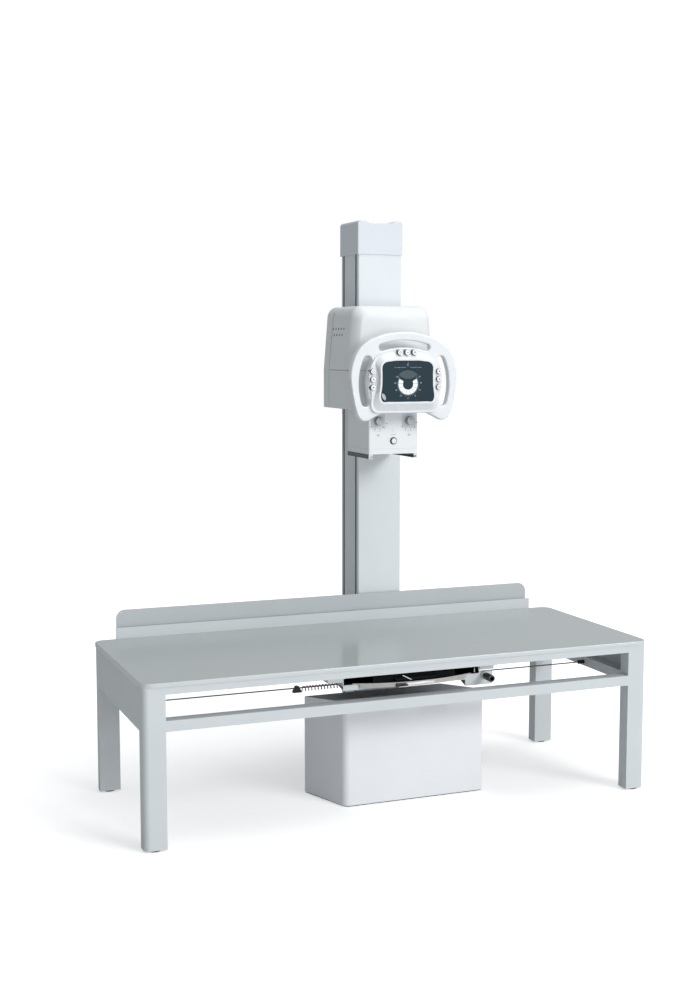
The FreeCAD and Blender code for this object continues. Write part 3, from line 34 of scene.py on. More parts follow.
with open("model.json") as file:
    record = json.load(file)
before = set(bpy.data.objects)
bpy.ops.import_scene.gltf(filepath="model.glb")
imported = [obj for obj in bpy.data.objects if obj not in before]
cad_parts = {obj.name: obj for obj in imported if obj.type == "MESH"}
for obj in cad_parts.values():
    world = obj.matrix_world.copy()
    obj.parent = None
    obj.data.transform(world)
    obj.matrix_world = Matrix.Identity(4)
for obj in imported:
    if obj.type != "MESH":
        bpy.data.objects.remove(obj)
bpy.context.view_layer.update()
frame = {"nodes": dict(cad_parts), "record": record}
NODES = frame["nodes"]
SLOT_OF = {part["node"]: part["material_slot"] for part in frame["record"]["subparts"]}
MM = 0.001


# ---------------------------------------------------------------- camera, light, floor
def make_camera():
    camera = bpy.data.objects.new("camera", bpy.data.cameras.new("camera"))
    bpy.context.scene.collection.objects.link(camera)
    camera.location = (-2.088, -5.016, 1.712)
    pitch_down, yaw_right = math.radians(6.084), math.radians(21.685)
    camera.rotation_euler = (math.pi / 2 - pitch_down, 0, -yaw_right)
    focal_px, frame_height_px, sensor = 1425.9, 1002, 36.0
    camera.data.sensor_width = sensor
    camera.data.lens = focal_px * sensor / frame_height_px
    camera.data.clip_end = 100
    bpy.context.scene.camera = camera


def area_light(name, place, target, size, power):
    lamp = bpy.data.lights.new(name, "AREA")
    lamp.shape, lamp.size, lamp.size_y = "RECTANGLE", size[0], size[1]
    lamp.energy = power
    holder = bpy.data.objects.new(name, lamp)
    bpy.context.scene.collection.objects.link(holder)
    holder.location = place
    holder.rotation_euler = (Vector(target) - Vector(place)).to_track_quat("-Z", "Y").to_euler()


def make_world():
    """Grey ambient light; the camera and glass see plain white instead."""
    world = bpy.data.worlds.new("studio")
    bpy.context.scene.world = world
    world.use_nodes = True
    tree = world.node_tree
    tree.nodes.clear()
    output = tree.nodes.new("ShaderNodeOutputWorld")
    ambient = tree.nodes.new("ShaderNodeBackground")
    ambient.inputs["Color"].default_value = (0.93, 0.97, 1.0, 1)
    ambient.inputs["Strength"].default_value = 0.41
    white = tree.nodes.new("ShaderNodeBackground")
    white.inputs["Color"].default_value = (1, 1, 1, 1)
    soft = tree.nodes.new("ShaderNodeBackground")
    soft.inputs["Color"].default_value = (0.95, 0.98, 1.0, 1)
    soft.inputs["Strength"].default_value = 0.62
    path = tree.nodes.new("ShaderNodeLightPath")
    seen = tree.nodes.new("ShaderNodeMath")
    seen.operation = "MAXIMUM"
    tree.links.new(path.outputs["Is Camera Ray"], seen.inputs[0])
    tree.links.new(path.outputs["Is Transmission Ray"], seen.inputs[1])
    first, second = (tree.nodes.new("ShaderNodeMixShader") for _ in range(2))
    tree.links.new(path.outputs["Is Glossy Ray"], first.inputs[0])
    tree.links.new(ambient.outputs[0], first.inputs[1])
    tree.links.new(soft.outputs[0], first.inputs[2])
    tree.links.new(seen.outputs[0], second.inputs[0])
    tree.links.new(first.outputs[0], second.inputs[1])
    tree.links.new(white.outputs[0], second.inputs[2])
    tree.links.new(second.outputs[0], output.inputs["Surface"])


def make_floor():
    """A pale floor that stays white where it is lit and keeps the object's shadow."""
    half = 30.0
    mesh = bpy.data.meshes.new("floor")
    mesh.from_pydata([(-half, -half, 0), (half, -half, 0), (half, half, 0), (-half, half, 0)],
                     [], [(0, 1, 2, 3)])
    floor = bpy.data.objects.new("floor", mesh)
    bpy.context.scene.collection.objects.link(floor)
    material = bpy.data.materials.new("floor")
    material.use_nodes = True
    tree = material.node_tree
    tree.nodes.clear()
    output = tree.nodes.new("ShaderNodeOutputMaterial")
    paint = tree.nodes.new("ShaderNodeBsdfDiffuse")
    paint.inputs["Color"].default_value = (0.76, 0.76, 0.76, 1)
    glow = tree.nodes.new("ShaderNodeEmission")
    place = tree.nodes.new("ShaderNodeTexCoord")
    oval = tree.nodes.new("ShaderNodeMapping")
    oval.inputs["Scale"].default_value = (0.62, 1.0, 1.0)
    reach = tree.nodes.new("ShaderNodeVectorMath")
    reach.operation = "LENGTH"
    strength = tree.nodes.new("ShaderNodeMapRange")
    for name, value in {"From Min": 0.5, "From Max": 2.4, "To Min": 0.48, "To Max": 0.82}.items():
        strength.inputs[name].default_value = value
    tree.links.new(place.outputs["Object"], oval.inputs["Vector"])
    tree.links.new(oval.outputs[0], reach.inputs[0])
    tree.links.new(reach.outputs["Value"], strength.inputs["Value"])
    tree.links.new(strength.outputs[0], glow.inputs["Strength"])
    path = tree.nodes.new("ShaderNodeLightPath")
    add, mix = tree.nodes.new("ShaderNodeAddShader"), tree.nodes.new("ShaderNodeMixShader")
    tree.links.new(paint.outputs[0], add.inputs[0])
    tree.links.new(glow.outputs[0], add.inputs[1])
    tree.links.new(path.outputs["Is Camera Ray"], mix.inputs[0])
    tree.links.new(paint.outputs[0], mix.inputs[1])
    tree.links.new(add.outputs[0], mix.inputs[2])
    tree.links.new(mix.outputs[0], output.inputs["Surface"])
    mesh.materials.append(material)


make_camera()
make_world()
make_floor()
area_light("key", (7.0, -12.0, 7.2), (0.2, 0.0, 0.8), (6.0, 5.0), 1190)
area_light("fill", (-0.8, -7.0, 0.9), (0.2, 0.0, 0.4), (2.6, 1.2), 90)
area_light("top", (1.2, -0.4, 5.2), (0.4, 0.0, 0.4), (4.5, 3.5), 90)
bpy.context.scene.view_settings.view_transform = "Standard"


# ---------------------------------------------------------------- materials
class Nodes:
    """A node material under construction."""

    def __init__(self, name):
        self.material = bpy.data.materials.new(name)
        self.material.use_nodes = True
        self.tree = self.material.node_tree
        self.shader = self.tree.nodes["Principled BSDF"]
        self.place = self.tree.nodes.new("ShaderNodeTexCoord").outputs["Object"]

    def new(self, kind, **sockets):
        node = self.tree.nodes.new("ShaderNode" + kind)
        for name, value in sockets.items():
            node.inputs[name.replace("_", " ")].default_value = value
        return node

    def link(self, source, target):
        self.tree.links.new(source, target)

    def set(self, **sockets):
        for name, value in sockets.items():
            self.shader.inputs[name.replace("_", " ")].default_value = value

    def noise(self, scale, detail=2.0, stretch=None):
        noise = self.new("TexNoise", Scale=scale, Detail=detail)
        if stretch:
            mapping = self.new("Mapping", Scale=stretch)
            self.link(self.place, mapping.inputs["Vector"])
            self.link(mapping.outputs[0], noise.inputs["Vector"])
        else:
            self.link(self.place, noise.inputs["Vector"])
        return noise.outputs[0]

    def ramp(self, factor, low, high, start=0.3, end=0.7):
        ramp = self.new("ValToRGB")
        ramp.color_ramp.elements[0].position, ramp.color_ramp.elements[1].position = start, end
        ramp.color_ramp.elements[0].color = (*low, 1)
        ramp.color_ramp.elements[1].color = (*high, 1)
        self.link(factor, ramp.inputs[0])
        return ramp.outputs[0]

    def spread(self, factor, low, high):
        spread = self.new("MapRange")
        spread.inputs["To Min"].default_value, spread.inputs["To Max"].default_value = low, high
        self.link(factor, spread.inputs["Value"])
        return spread.outputs[0]

    def axis(self, letter, source=None):
        """One coordinate of the surface point, or of another vector."""
        parts = self.new("SeparateXYZ")
        self.link(source or self.place, parts.inputs[0])
        return parts.outputs["XYZ".index(letter.upper())]

    def sum(self, operation, first, second):
        node = self.new("Math")
        node.operation = operation
        for socket, value in zip(node.inputs, (first, second)):
            if isinstance(value, (int, float)):
                socket.default_value = value
            else:
                self.link(value, socket)
        return node.outputs[0]

    def within(self, **limits):
        """1 inside a box of the object's space, 0 outside; axes left out are free."""
        mask = 1.0
        for letter, (low, high) in limits.items():
            along = self.axis(letter)
            mask = self.sum("MULTIPLY", self.sum("GREATER_THAN", along, low), mask)
            mask = self.sum("MULTIPLY", self.sum("LESS_THAN", along, high), mask)
        return mask

    def mixed(self, mask, low, high):
        """The colour low where the mask is 0 and high where it is 1."""
        mix = self.new("Mix")
        mix.data_type = "RGBA"
        self.link(mask, mix.inputs[0])
        for socket, value in zip(mix.inputs[6:8], (low, high)):
            if isinstance(value, tuple):
                socket.default_value = (*value, 1)
            else:
                self.link(value, socket)
        return mix.outputs[2]

    def cloudy(self, colour, shift=0.03, scale=2.3):
        return self.ramp(self.noise(scale, 3.0), tinted(colour, 1 - shift),
                         tinted(colour, 1 + shift))

    def bump(self, height, strength, distance):
        bump = self.new("Bump", Strength=strength, Distance=distance)
        self.link(height, bump.inputs["Height"])
        self.link(bump.outputs[0], self.shader.inputs["Normal"])


PALE = (0.555, 0.59, 0.605)


def tinted(colour, share):
    return tuple(channel * share for channel in colour)


def coated(name, colour, roughness, grain, depth, metallic=0.0, shift=0.03, coat=0.0,
           gloss=0.5):
    """Paint, moulding or anodising: a faint cloudy tone, uneven gloss and a fine grain."""
    m = Nodes(name)
    cloud = m.noise(2.3, 3.0)
    m.link(m.ramp(cloud, tinted(colour, 1 - shift), tinted(colour, 1 + shift)),
           m.shader.inputs["Base Color"])
    m.link(m.spread(m.noise(7.0, 4.0), roughness * 0.88, roughness * 1.12),
           m.shader.inputs["Roughness"])
    m.bump(m.noise(grain, 2.0), 0.25, depth)
    m.set(Metallic=metallic, Coat_Weight=coat, Specular_IOR_Level=gloss)
    return m.material


def brushed(name, colour, roughness, stretch, metallic=1.0):
    """Metal drawn along one axis: streaks in tone, gloss and relief."""
    m = Nodes(name)
    streaks = m.noise(60.0, 3.0, stretch)
    m.link(m.ramp(streaks, tinted(colour, 0.88), tinted(colour, 1.06)),
           m.shader.inputs["Base Color"])
    m.link(m.spread(streaks, roughness * 0.8, roughness * 1.2), m.shader.inputs["Roughness"])
    m.bump(streaks, 0.15, 0.0002)
    m.set(Metallic=metallic)
    return m.material


def finished(name, colour, roughness, grain, depth, **settings):
    """A material whose colour comes from a function of its nodes, such as a mask."""
    m = Nodes(name)
    m.link(colour(m), m.shader.inputs["Base Color"])
    m.link(m.spread(m.noise(7.0, 4.0), roughness * 0.88, roughness * 1.12),
           m.shader.inputs["Roughness"])
    m.bump(m.noise(grain, 2.0), 0.25, depth)
    m.set(**settings)
    return m.material


def laminate():
    """The glossy top: a faint speckle under a smooth, slightly wavy surface, pale edges."""
    m = Nodes("top_laminate")
    base = (0.385, 0.42, 0.415)
    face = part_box("tabletop")[1][2] - 1.2 * MM
    speckle = m.ramp(m.noise(420.0, 3.0), tinted(base, 0.95), tinted(base, 1.05))
    m.link(m.mixed(m.within(z=(0.0, face)), speckle, PALE), m.shader.inputs["Base Color"])
    m.link(m.spread(m.noise(3.0, 3.0), 0.13, 0.19), m.shader.inputs["Roughness"])
    m.bump(m.noise(9.0, 1.0), 0.06, 0.002)
    m.set(IOR=1.5)
    return m.material


def housing_with_painted_shade(m):
    """Painted shade: near-black inside, where the slot lies in shade, and dark on the two gussets'
    shaded sides; the faces that show from outside are painted like the frame.
    """
    low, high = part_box("bucky_housing")
    skin, right_wall, front_lip, floor = 1 * MM, 0.301, -0.3315, 0.5045
    web_back = -0.25
    inner = m.within(x=(low[0] + skin, right_wall - skin), y=(front_lip, high[1] - skin),
                     z=(floor, high[2] - skin))
    left_web = m.within(x=(low[0] - skin, -0.2435), y=(-0.3355, web_back), z=(0.48, 0.5035))
    lock_web = m.within(x=(0.2405, 0.2455), y=(front_lip, web_back), z=(0.46, 0.4885))
    # The gussets take a dark colour as painted shade, not the frame's paint.
    shaded_webs = m.sum("ADD", left_web, lock_web)
    painted = m.mixed(shaded_webs, m.cloudy(PALE), m.cloudy((0.10, 0.105, 0.105)))
    return m.mixed(inner, painted, m.cloudy((0.008, 0.009, 0.010)))


def grooved(m):
    """Pale column with darker sides and the shade of the guide grooves in them."""
    low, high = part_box("column_extrusion")
    inset, width, skin = 20 * MM, 16 * MM, 1 * MM
    shade = 0.0
    for start in (low[1] + inset, high[1] - inset - width):
        shade = m.sum("ADD", m.within(x=(low[0] + skin, high[0] - skin),
                                      y=(start - skin / 2, start + width + skin / 2)), shade)
    return m.mixed(shade, m.cloudy((0.66, 0.695, 0.72)), m.cloudy((0.16, 0.17, 0.175)))


def wire(m):
    """Dark steel wire with black end fittings."""
    fitting = 0.03
    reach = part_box("guide_wire")[1][0] - fitting
    streaks = m.noise(60.0, 3.0, (1, 6, 6))
    steel = m.ramp(streaks, (0.13, 0.11, 0.10), (0.20, 0.17, 0.155))
    return m.mixed(m.within(x=(-reach, reach)), m.cloudy((0.012, 0.012, 0.013)), steel)


def shaded_tray(m):
    """A drawn steel rim round a pan whose top, and whose part inside the housing, are painted
    near-black as the shade of the slot.
    """
    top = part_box("cassette_tray")[1][2] - 0.4 * MM
    streaks = m.ramp(m.noise(60.0, 2.0, (0.08, 6, 6)), (0.36, 0.355, 0.34), (0.43, 0.425, 0.41))
    # Painted shade: near-black on the pan's top and inside the housing, where the slot is in
    # shade.
    black, mouth, beyond = m.cloudy((0.006, 0.007, 0.008)), -0.334, 1.0
    rim = m.mixed(m.within(z=(top, beyond)), streaks, black)
    return m.mixed(m.within(y=(mouth, beyond)), rim, black)


def lock_colours(m):
    """A pale collar behind a black grip."""
    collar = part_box("bucky_lock_grip")[1][1] - 13 * MM
    return m.mixed(m.within(y=(collar, 1.0)), m.cloudy((0.008, 0.008, 0.009)),
                   m.cloudy((0.50, 0.52, 0.53)))


def rail_sides_painted_shade(m):
    """Pale front end caps on rails whose sides are painted dark as the shade on them."""
    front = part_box("accessory_rails")[0][1]
    # Painted shade: everything behind the front caps takes the dark colour.
    return m.mixed(m.within(y=(front + 1 * MM, 1.0)), m.cloudy((0.62, 0.64, 0.65)),
                   m.cloudy((0.10, 0.105, 0.11)))


def lit_face_shaded_wall(face, side):
    """A turned piece whose front face keeps its own pale colour and whose wall is painted darker
    as shade, chosen by which way the surface faces.
    """
    def colour(m):
        normal = m.new("TexCoord").outputs["Normal"]
        facing = -0.72
        # Surfaces turned to the front take the face colour, all others the painted shade of the
        # wall.
        front = m.sum("LESS_THAN", m.axis("y", normal), facing)
        return m.mixed(front, m.cloudy(side), m.cloudy(face))
    return colour


def clear_plastic():
    m = Nodes("clear_window")
    m.link(m.spread(m.noise(30.0), 0.03, 0.08), m.shader.inputs["Roughness"])
    m.set(Base_Color=(0.82, 0.9, 0.92, 1), Transmission_Weight=0.85, IOR=1.49)
    return m.material


MATERIALS = {
    "frame_paint": coated("frame_paint", PALE, 0.38, 900, 0.0004),
    "top_laminate": laminate(),
    "guard_sheet": coated("guard_sheet", (0.455, 0.485, 0.505), 0.30, 500, 0.0001),
    "foot_rubber": coated("foot_rubber", (0.03, 0.03, 0.032), 0.75, 1200, 0.0004),
    "rail_metal": brushed("rail_metal", (0.62, 0.65, 0.67), 0.36, (0.05, 6, 6), 0.85),
    "wire_steel": brushed("wire_steel", (0.22, 0.19, 0.175), 0.38, (1, 6, 6), 0.9),
    "cabinet_paint": coated("cabinet_paint", (0.755, 0.775, 0.80), 0.5, 700, 0.0006),
    "dark_metal": coated("dark_metal", (0.008, 0.009, 0.010), 0.45, 800, 0.0003),
    "grid_metal": brushed("grid_metal", (0.35, 0.37, 0.39), 0.4, (6, 0.1, 6), 0.9),
    "tray_metal": brushed("tray_metal", (0.66, 0.68, 0.70), 0.28, (0.08, 6, 6), 0.95),
    "black_plastic": coated("black_plastic", (0.012, 0.012, 0.013), 0.33, 900, 0.0003),
    "column_paint": coated("column_paint", (0.66, 0.695, 0.72), 0.5, 1000, 0.0002, gloss=0.2),
    "cap_plastic": coated("cap_plastic", (0.62, 0.65, 0.69), 0.5, 1400, 0.0003, gloss=0.25),
    "weight_iron": coated("weight_iron", (0.06, 0.06, 0.062), 0.65, 260, 0.001, 0.4),
    "belt_rubber": coated("belt_rubber", (0.02, 0.02, 0.02), 0.7, 900, 0.0004),
    "hood_plastic": coated("hood_plastic", (0.69, 0.715, 0.72), 0.42, 1300, 0.0004),
    "tube_metal": coated("tube_metal", (0.50, 0.52, 0.535), 0.42, 500, 0.0005, 0.5),
    "collimator_paint": coated("collimator_paint", (0.76, 0.785, 0.80), 0.4, 1100, 0.0003),
    "clear_window": clear_plastic(),
    "rack_metal": brushed("rack_metal", (0.70, 0.72, 0.74), 0.32, (6, 0.05, 6), 0.75),
    # The knobs' and buttons' wall colours are painted shade.
    "knob_plastic": finished("knob_plastic", lit_face_shaded_wall((0.46, 0.485, 0.50), (0.22, 0.235, 0.245)),
                             0.35, 1500, 0.0002),
    "panel_plastic": coated("panel_plastic", (0.72, 0.745, 0.77), 0.27, 1800, 0.0001, coat=0.25),
    "display_glass": coated("display_glass", (0.010, 0.028, 0.038), 0.16, 300, 0.00002),
    "button_plastic": finished("button_plastic",
                               lit_face_shaded_wall((0.78, 0.80, 0.82), (0.045, 0.05, 0.055)),
                               0.25, 900, 0.0001),
    "print_dark": coated("print_dark", (0.10, 0.115, 0.13), 0.5, 900, 0.0001),
    "print_pale": coated("print_pale", (0.78, 0.82, 0.85), 0.4, 900, 0.0001),
    "print_soft": coated("print_soft", (0.20, 0.24, 0.27), 0.4, 900, 0.0001),
    "print_grey": coated("print_grey", (0.40, 0.43, 0.45), 0.5, 900, 0.0001),
    "print_dim": coated("print_dim", (0.045, 0.07, 0.085), 0.3, 900, 0.0001),
    "print_tint": coated("print_tint", (0.60, 0.635, 0.665), 0.4, 900, 0.0001),
    "cord_rubber": coated("cord_rubber", (0.030, 0.030, 0.032), 0.36, 700, 0.0002),
}


OWN = {
    "bucky_housing": finished("housing_paint_and_shade", housing_with_painted_shade, 0.42, 800, 0.0003),
    # The column's groove strips are painted shade.
    "column_extrusion": finished("column_paint_and_groove_shade", grooved, 0.5, 1000, 0.0002,
                                 Specular_IOR_Level=0.2),
    "guide_wire": finished("wire_finish", wire, 0.42, 900, 0.0002, Metallic=0.4),
    "cassette_tray": finished("tray_steel_and_shade", shaded_tray, 0.6, 900, 0.0001,
                              Specular_IOR_Level=0.05),
    # The clamp is near-black with almost no gloss.
    "tray_clamp": coated("clamp_near_black", (0.008, 0.009, 0.010), 0.7, 900, 0.0002, gloss=0.05),
    "bucky_lock_grip": finished("lock_finish", lock_colours, 0.35, 900, 0.0002),
    "accessory_rails": finished("rack_caps_and_shade", rail_sides_painted_shade, 0.4, 900, 0.0002, Metallic=0.3),
}
SOFT_EDGES = {name: 1.2 * MM for name in (
    "end_frame_left", "end_frame_right", "side_rails", "side_aprons", "cabinet_cover",
    "column_travel_rail", "column_trolley", "column_foot", "rear_strip")}


def dress_nodes():
    for name, node in NODES.items():
        node.data.materials.clear()
        node.data.materials.append(OWN.get(name, MATERIALS[SLOT_OF[name]]))


dress_nodes()


# ---------------------------------------------------------------- mesh helpers
class Shape:
    """A mesh under construction from turned, extruded and swept parts."""

    def __init__(self):
        self.bm = bmesh.new()

    def box(self, low, high, edge=0.0):
        """A block between two corners with rounded edges."""
        low, high = Vector(low), Vector(high)
        made = bmesh.ops.create_cube(self.bm, size=1.0)["verts"]
        for vert in made:
            vert.co = (low + high) / 2 + Vector(a * b for a, b in zip(vert.co, high - low))
        if edge:
            edges = {e for v in made for e in v.link_edges}
            bmesh.ops.bevel(self.bm, geom=list(edges), offset=edge, segments=3, profile=0.5,
                            affect="EDGES")
        return self

    def slab(self, points, axis, start, depth):
        """A closed outline in the plane across an axis, given depth along it."""
        ring = [self.bm.verts.new(raised(point, axis, start)) for point in points]
        face = self.bm.faces.new(ring)
        moved = bmesh.ops.extrude_face_region(self.bm, geom=[face])["geom"]
        shift = raised((0, 0), axis, depth)
        bmesh.ops.translate(self.bm, vec=shift,
                            verts=[g for g in moved if isinstance(g, bmesh.types.BMVert)])
        return self

    def turned(self, place, axis, profile, count=40):
        """A profile of (radius, distance along the axis) turned round an axis at a place."""
        rings = []
        for radius, along in profile:
            ring = []
            for i in range(count):
                turn = 2 * math.pi * i / count
                flat = (radius * math.cos(turn), radius * math.sin(turn))
                ring.append(self.bm.verts.new(Vector(place) + raised(flat, axis, along)))
            rings.append(ring)
        for lower, upper in zip(rings, rings[1:]):
            for i in range(count):
                j = (i + 1) % count
                self.bm.faces.new((lower[i], lower[j], upper[j], upper[i]))
        self.bm.faces.new(rings[0])
        self.bm.faces.new(rings[-1])
        return self

    def made(self, name, body, finish, slot, edge=0.0):
        bmesh.ops.recalc_face_normals(self.bm, faces=self.bm.faces)
        mesh = bpy.data.meshes.new(name)
        self.bm.to_mesh(mesh)
        self.bm.free()
        mesh.shade_smooth()
        mesh.set_sharp_from_angle(angle=math.radians(35))
        mesh.materials.append(MATERIALS[finish])
        thing = bpy.data.objects.new(name, mesh)
        bpy.context.scene.collection.objects.link(thing)
        if edge:
            round_edges(thing, edge)
        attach(thing, body)
        return thing


def raised(flat, axis, along):
    """A point of the plane across an axis: (y, z), (x, z) or (x, y), and its distance."""
    a, b = flat
    return Vector({"x": (along, a, b), "y": (a, along, b), "z": (a, b, along)}[axis])


def round_edges(thing, width):
    bevel = thing.modifiers.new("edges", "BEVEL")
    bevel.width, bevel.segments = width, 2
    bevel.limit_method, bevel.angle_limit = "ANGLE", math.radians(40)
    bevel.harden_normals = True


def arc(centre, radius, start, end, steps):
    """Points of an arc in a plane, angles in degrees."""
    turns = (math.radians(start + (end - start) * i / steps) for i in range(steps + 1))
    return [(centre[0] + radius * math.cos(turn), centre[1] + radius * math.sin(turn))
            for turn in turns]


def ring_sector(centre, inner, outer, start, end, steps=8):
    return arc(centre, outer, start, end, steps) + arc(centre, inner, end, start, steps)


def bar(centre, length, width, degrees):
    """A short straight mark."""
    turn = math.radians(degrees)
    along = Vector((math.cos(turn), math.sin(turn))) * length / 2
    across = Vector((-math.sin(turn), math.cos(turn))) * width / 2
    middle, corners = Vector(centre), ((1, 1), (-1, 1), (-1, -1), (1, -1))
    return [tuple(middle + a * along + b * across) for a, b in corners]


for soft_node, soft_width in SOFT_EDGES.items():
    round_edges(NODES[soft_node], soft_width)


# ---------------------------------------------------------------- display and buttons
PRINT = 0.25 * MM
HEAD_X = 0.177


def display():
    """The tube-angle scale and plain marks on the panel's dark window, and a painted reflection in
    its lower-left corner.
    """
    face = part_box("display_window")[0][1]
    centre = (HEAD_X + 1 * MM, 1.577)
    start, depth = face - PRINT, PRINT * 1.6
    scale = Shape()
    sectors, first, last = 9, 150, 390
    step = (last - first) / sectors
    for i in range(sectors):
        low = first + step * i
        scale.slab(ring_sector(centre, 22 * MM, 41 * MM, low + 0.8, low + step - 0.8), "y",
                   start, depth)
    scale.made("angle_scale", "head", "print_pale", "display_glass")
    rim = Shape()
    rim.slab(ring_sector(centre, 43 * MM, 44.2 * MM, 140, 400, 40), "y", start, depth)
    ticks = 27
    for i in range(ticks + 1):
        turn = first + (last - first) * i / ticks
        spot = arc(centre, 47 * MM, turn, turn, 1)[0]
        rim.slab(bar(spot, (5 if i % 3 == 0 else 2.5) * MM, 0.8 * MM, turn), "y", start, depth)
    rim.made("angle_ticks", "head", "print_soft", "display_glass")
    lens = Shape()
    half, height, middle = 40 * MM, 16.5 * MM, 1.6135
    bulge = [math.cos(math.pi / 2 * (i / 12 - 1)) for i in range(24)]
    top = [(centre[0] + half * (i / 12 - 1), middle + height * bulge[i] ** 0.8)
           for i in range(24)]
    low = [(2 * centre[0] - x, 2 * middle - z) for x, z in top]
    lens.slab(top + low, "y", start - PRINT, depth)
    lens.made("display_lens", "head", "print_dim", "display_glass")
    marks, line_level, ring_level, tip_level = Shape(), 1.641, 1.651, 1.660
    for place in (-53, -42, -35, -24, -14, 14, 24, 33, 44, 53):
        marks.slab(bar((centre[0] + place * MM, line_level), 7 * MM, 2.2 * MM, 0), "y",
                   start, depth)
    marks.slab(ring_sector((centre[0], ring_level), 3 * MM, 5 * MM, 30, 330, 16), "y",
               start, depth)
    marks.slab(bar((centre[0], tip_level), 8 * MM, 1.4 * MM, 90), "y", start, depth)
    marks.made("display_marks", "head", "print_soft", "display_glass")
    # A pale patch in the window's lower-left corner: a painted reflection on the glass, in the
    # grey print colour.
    corner = Shape()
    reflection_outline = [(0.0675, 1.541), (0.074, 1.5405), (0.081, 1.535), (0.0845, 1.526), (0.084, 1.517),
               (0.0815, 1.5145), (0.0735, 1.520), (0.0685, 1.530)]
    corner.slab(reflection_outline, "y", start, depth)
    corner.made("display_reflection", "head", "print_grey", "display_glass")
    labels(centre, start)


def labels(centre, start):
    """Plain degrees round the scale."""
    for word, degrees in (("0", 270), ("30", 236), ("30", 304), ("60", 205), ("60", 335),
                          ("90", 176), ("90", 4), ("120", 149), ("120", 31)):
        text = bpy.data.curves.new("degrees", "FONT")
        text.body, text.size, text.extrude = word, 7.5 * MM, PRINT / 2
        text.align_x, text.align_y = "CENTER", "CENTER"
        holder = bpy.data.objects.new("degrees", text)
        x, z = arc(centre, 55 * MM, degrees, degrees, 1)[0]
        holder.matrix_world = (Matrix.Translation((x, start + PRINT / 2, z))
                               @ Matrix.Rotation(math.pi / 2, 4, "X"))
        mesh = bpy.data.meshes.new_from_object(holder)
        mesh.transform(holder.matrix_world)
        bpy.data.objects.remove(holder)
        mesh.materials.append(MATERIALS["print_grey"])
        thing = bpy.data.objects.new("degrees_%s_%d" % (word, degrees), mesh)
        bpy.context.scene.collection.objects.link(thing)
        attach(thing, "head")


def button_glyphs():
    """A plain sign on each button."""
    signs = {"left_upper": "ring", "left_middle": "up", "left_lower": "down",
             "right_upper": "up", "right_middle": "left", "right_lower": "ring",
             "top_left": "ring", "top_middle": "minus", "top_right": "plus"}
    for word, sign in signs.items():
        node = "button_" + word
        low, high = (Vector(corner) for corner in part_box(node))
        x, z, face = (low.x + high.x) / 2, (low.z + high.z) / 2, low.y
        start, depth = face - PRINT, PRINT * 1.5
        glyph = Shape()
        if sign == "ring":
            glyph.slab(ring_sector((x, z), 3.2 * MM, 4.2 * MM, 0, 356, 24), "y", start, depth)
        elif sign in ("minus", "plus"):
            glyph.slab(bar((x, z), 10 * MM, 1.6 * MM, 0), "y", start, depth)
            if sign == "plus":
                for offset in (-1, 1):
                    glyph.slab(bar((x, z + offset * 3 * MM), 4.2 * MM, 1.6 * MM, 90), "y",
                               start, depth)
        else:
            turn = {"up": 90, "down": 270, "left": 180}[sign]
            glyph.slab([arc((x, z), 4.5 * MM, turn + k * 120, 0, 1)[0] for k in range(3)], "y",
                       start, depth)
        glyph.made(node + "_sign", node, "print_dark", "button_plastic")


display()
button_glyphs()


# ---------------------------------------------------------------- upper hood
def hood_shell():
    """The upper hood as one soft moulding, with blind round vents in its left side whose walls are
    painted black as the shade inside the hood.
    """
    low, high = (Vector(corner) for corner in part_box("hood_upper"))
    taper, shoulder, bevel, steps = 20 * MM, 46 * MM, 36 * MM, 14
    least_radius, shrink = 12 * MM, 0.5
    soft_reach, hard_reach, fullness = 1.2, 1.35, 1.45

    def outline(inset):
        half = (high.x - low.x) / 2 - inset
        middle, top = (low.x + high.x) / 2, high.z - inset
        narrow = half - taper * (top - low.z) / (high.z - low.z)
        radius = max(shoulder - inset * shrink, least_radius)
        lean = math.degrees(math.atan2(taper, high.z - low.z))
        right = arc((middle + narrow - radius, top - radius), radius, -lean, 90, 10)
        left = [(2 * middle - x, z) for x, z in reversed(right)]
        return [(middle + half, low.z)] + right + left + [(middle - half, low.z)]

    rings, hood = [], Shape()
    stations = [(high.y, 0.0), (low.y + bevel * hard_reach, 0.0)]
    for i in range(steps + 1):
        turn = math.pi / 2 * i / steps
        stations.append((low.y + bevel * soft_reach * (1 - math.sin(turn) ** fullness),
                         bevel * (1 - math.cos(turn) ** fullness)))
    for y, inset in stations:
        rings.append([hood.bm.verts.new((x, y, z)) for x, z in outline(inset)])
    count = len(rings[0])
    for near, far in zip(rings, rings[1:]):
        for i in range(count):
            j = (i + 1) % count
            hood.bm.faces.new((near[i], near[j], far[j], far[i]))
    hood.bm.faces.new(rings[0])
    hood.bm.faces.new(rings[-1])
    shell = hood.made("hood_shell", "head", "hood_plastic", "hood_plastic")
    cutter = Shape()
    vent_share, vent_level, row_gap = 0.713, 1.792, 24 * MM
    pitch, vent_radius, depth = 29 * MM, 4.6 * MM, 12 * MM
    middle = low.y + (high.y - low.y) * vent_share
    for row, holes in enumerate((5, 4)):
        z = vent_level - row_gap * row
        side = low.x + taper * (z - low.z) / (high.z - low.z)
        for i in range(holes):
            y = middle + pitch * (i - (holes - 1) / 2)
            cutter.turned((side - 2 * MM, y, z), "x",
                          [(vent_radius, 0.0), (vent_radius, depth)], 20)
    # The vents' walls take black plastic: painted shade for the dark inside of the hood.
    bored(shell, cutter, MATERIALS["black_plastic"])
    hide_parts("hood_upper")


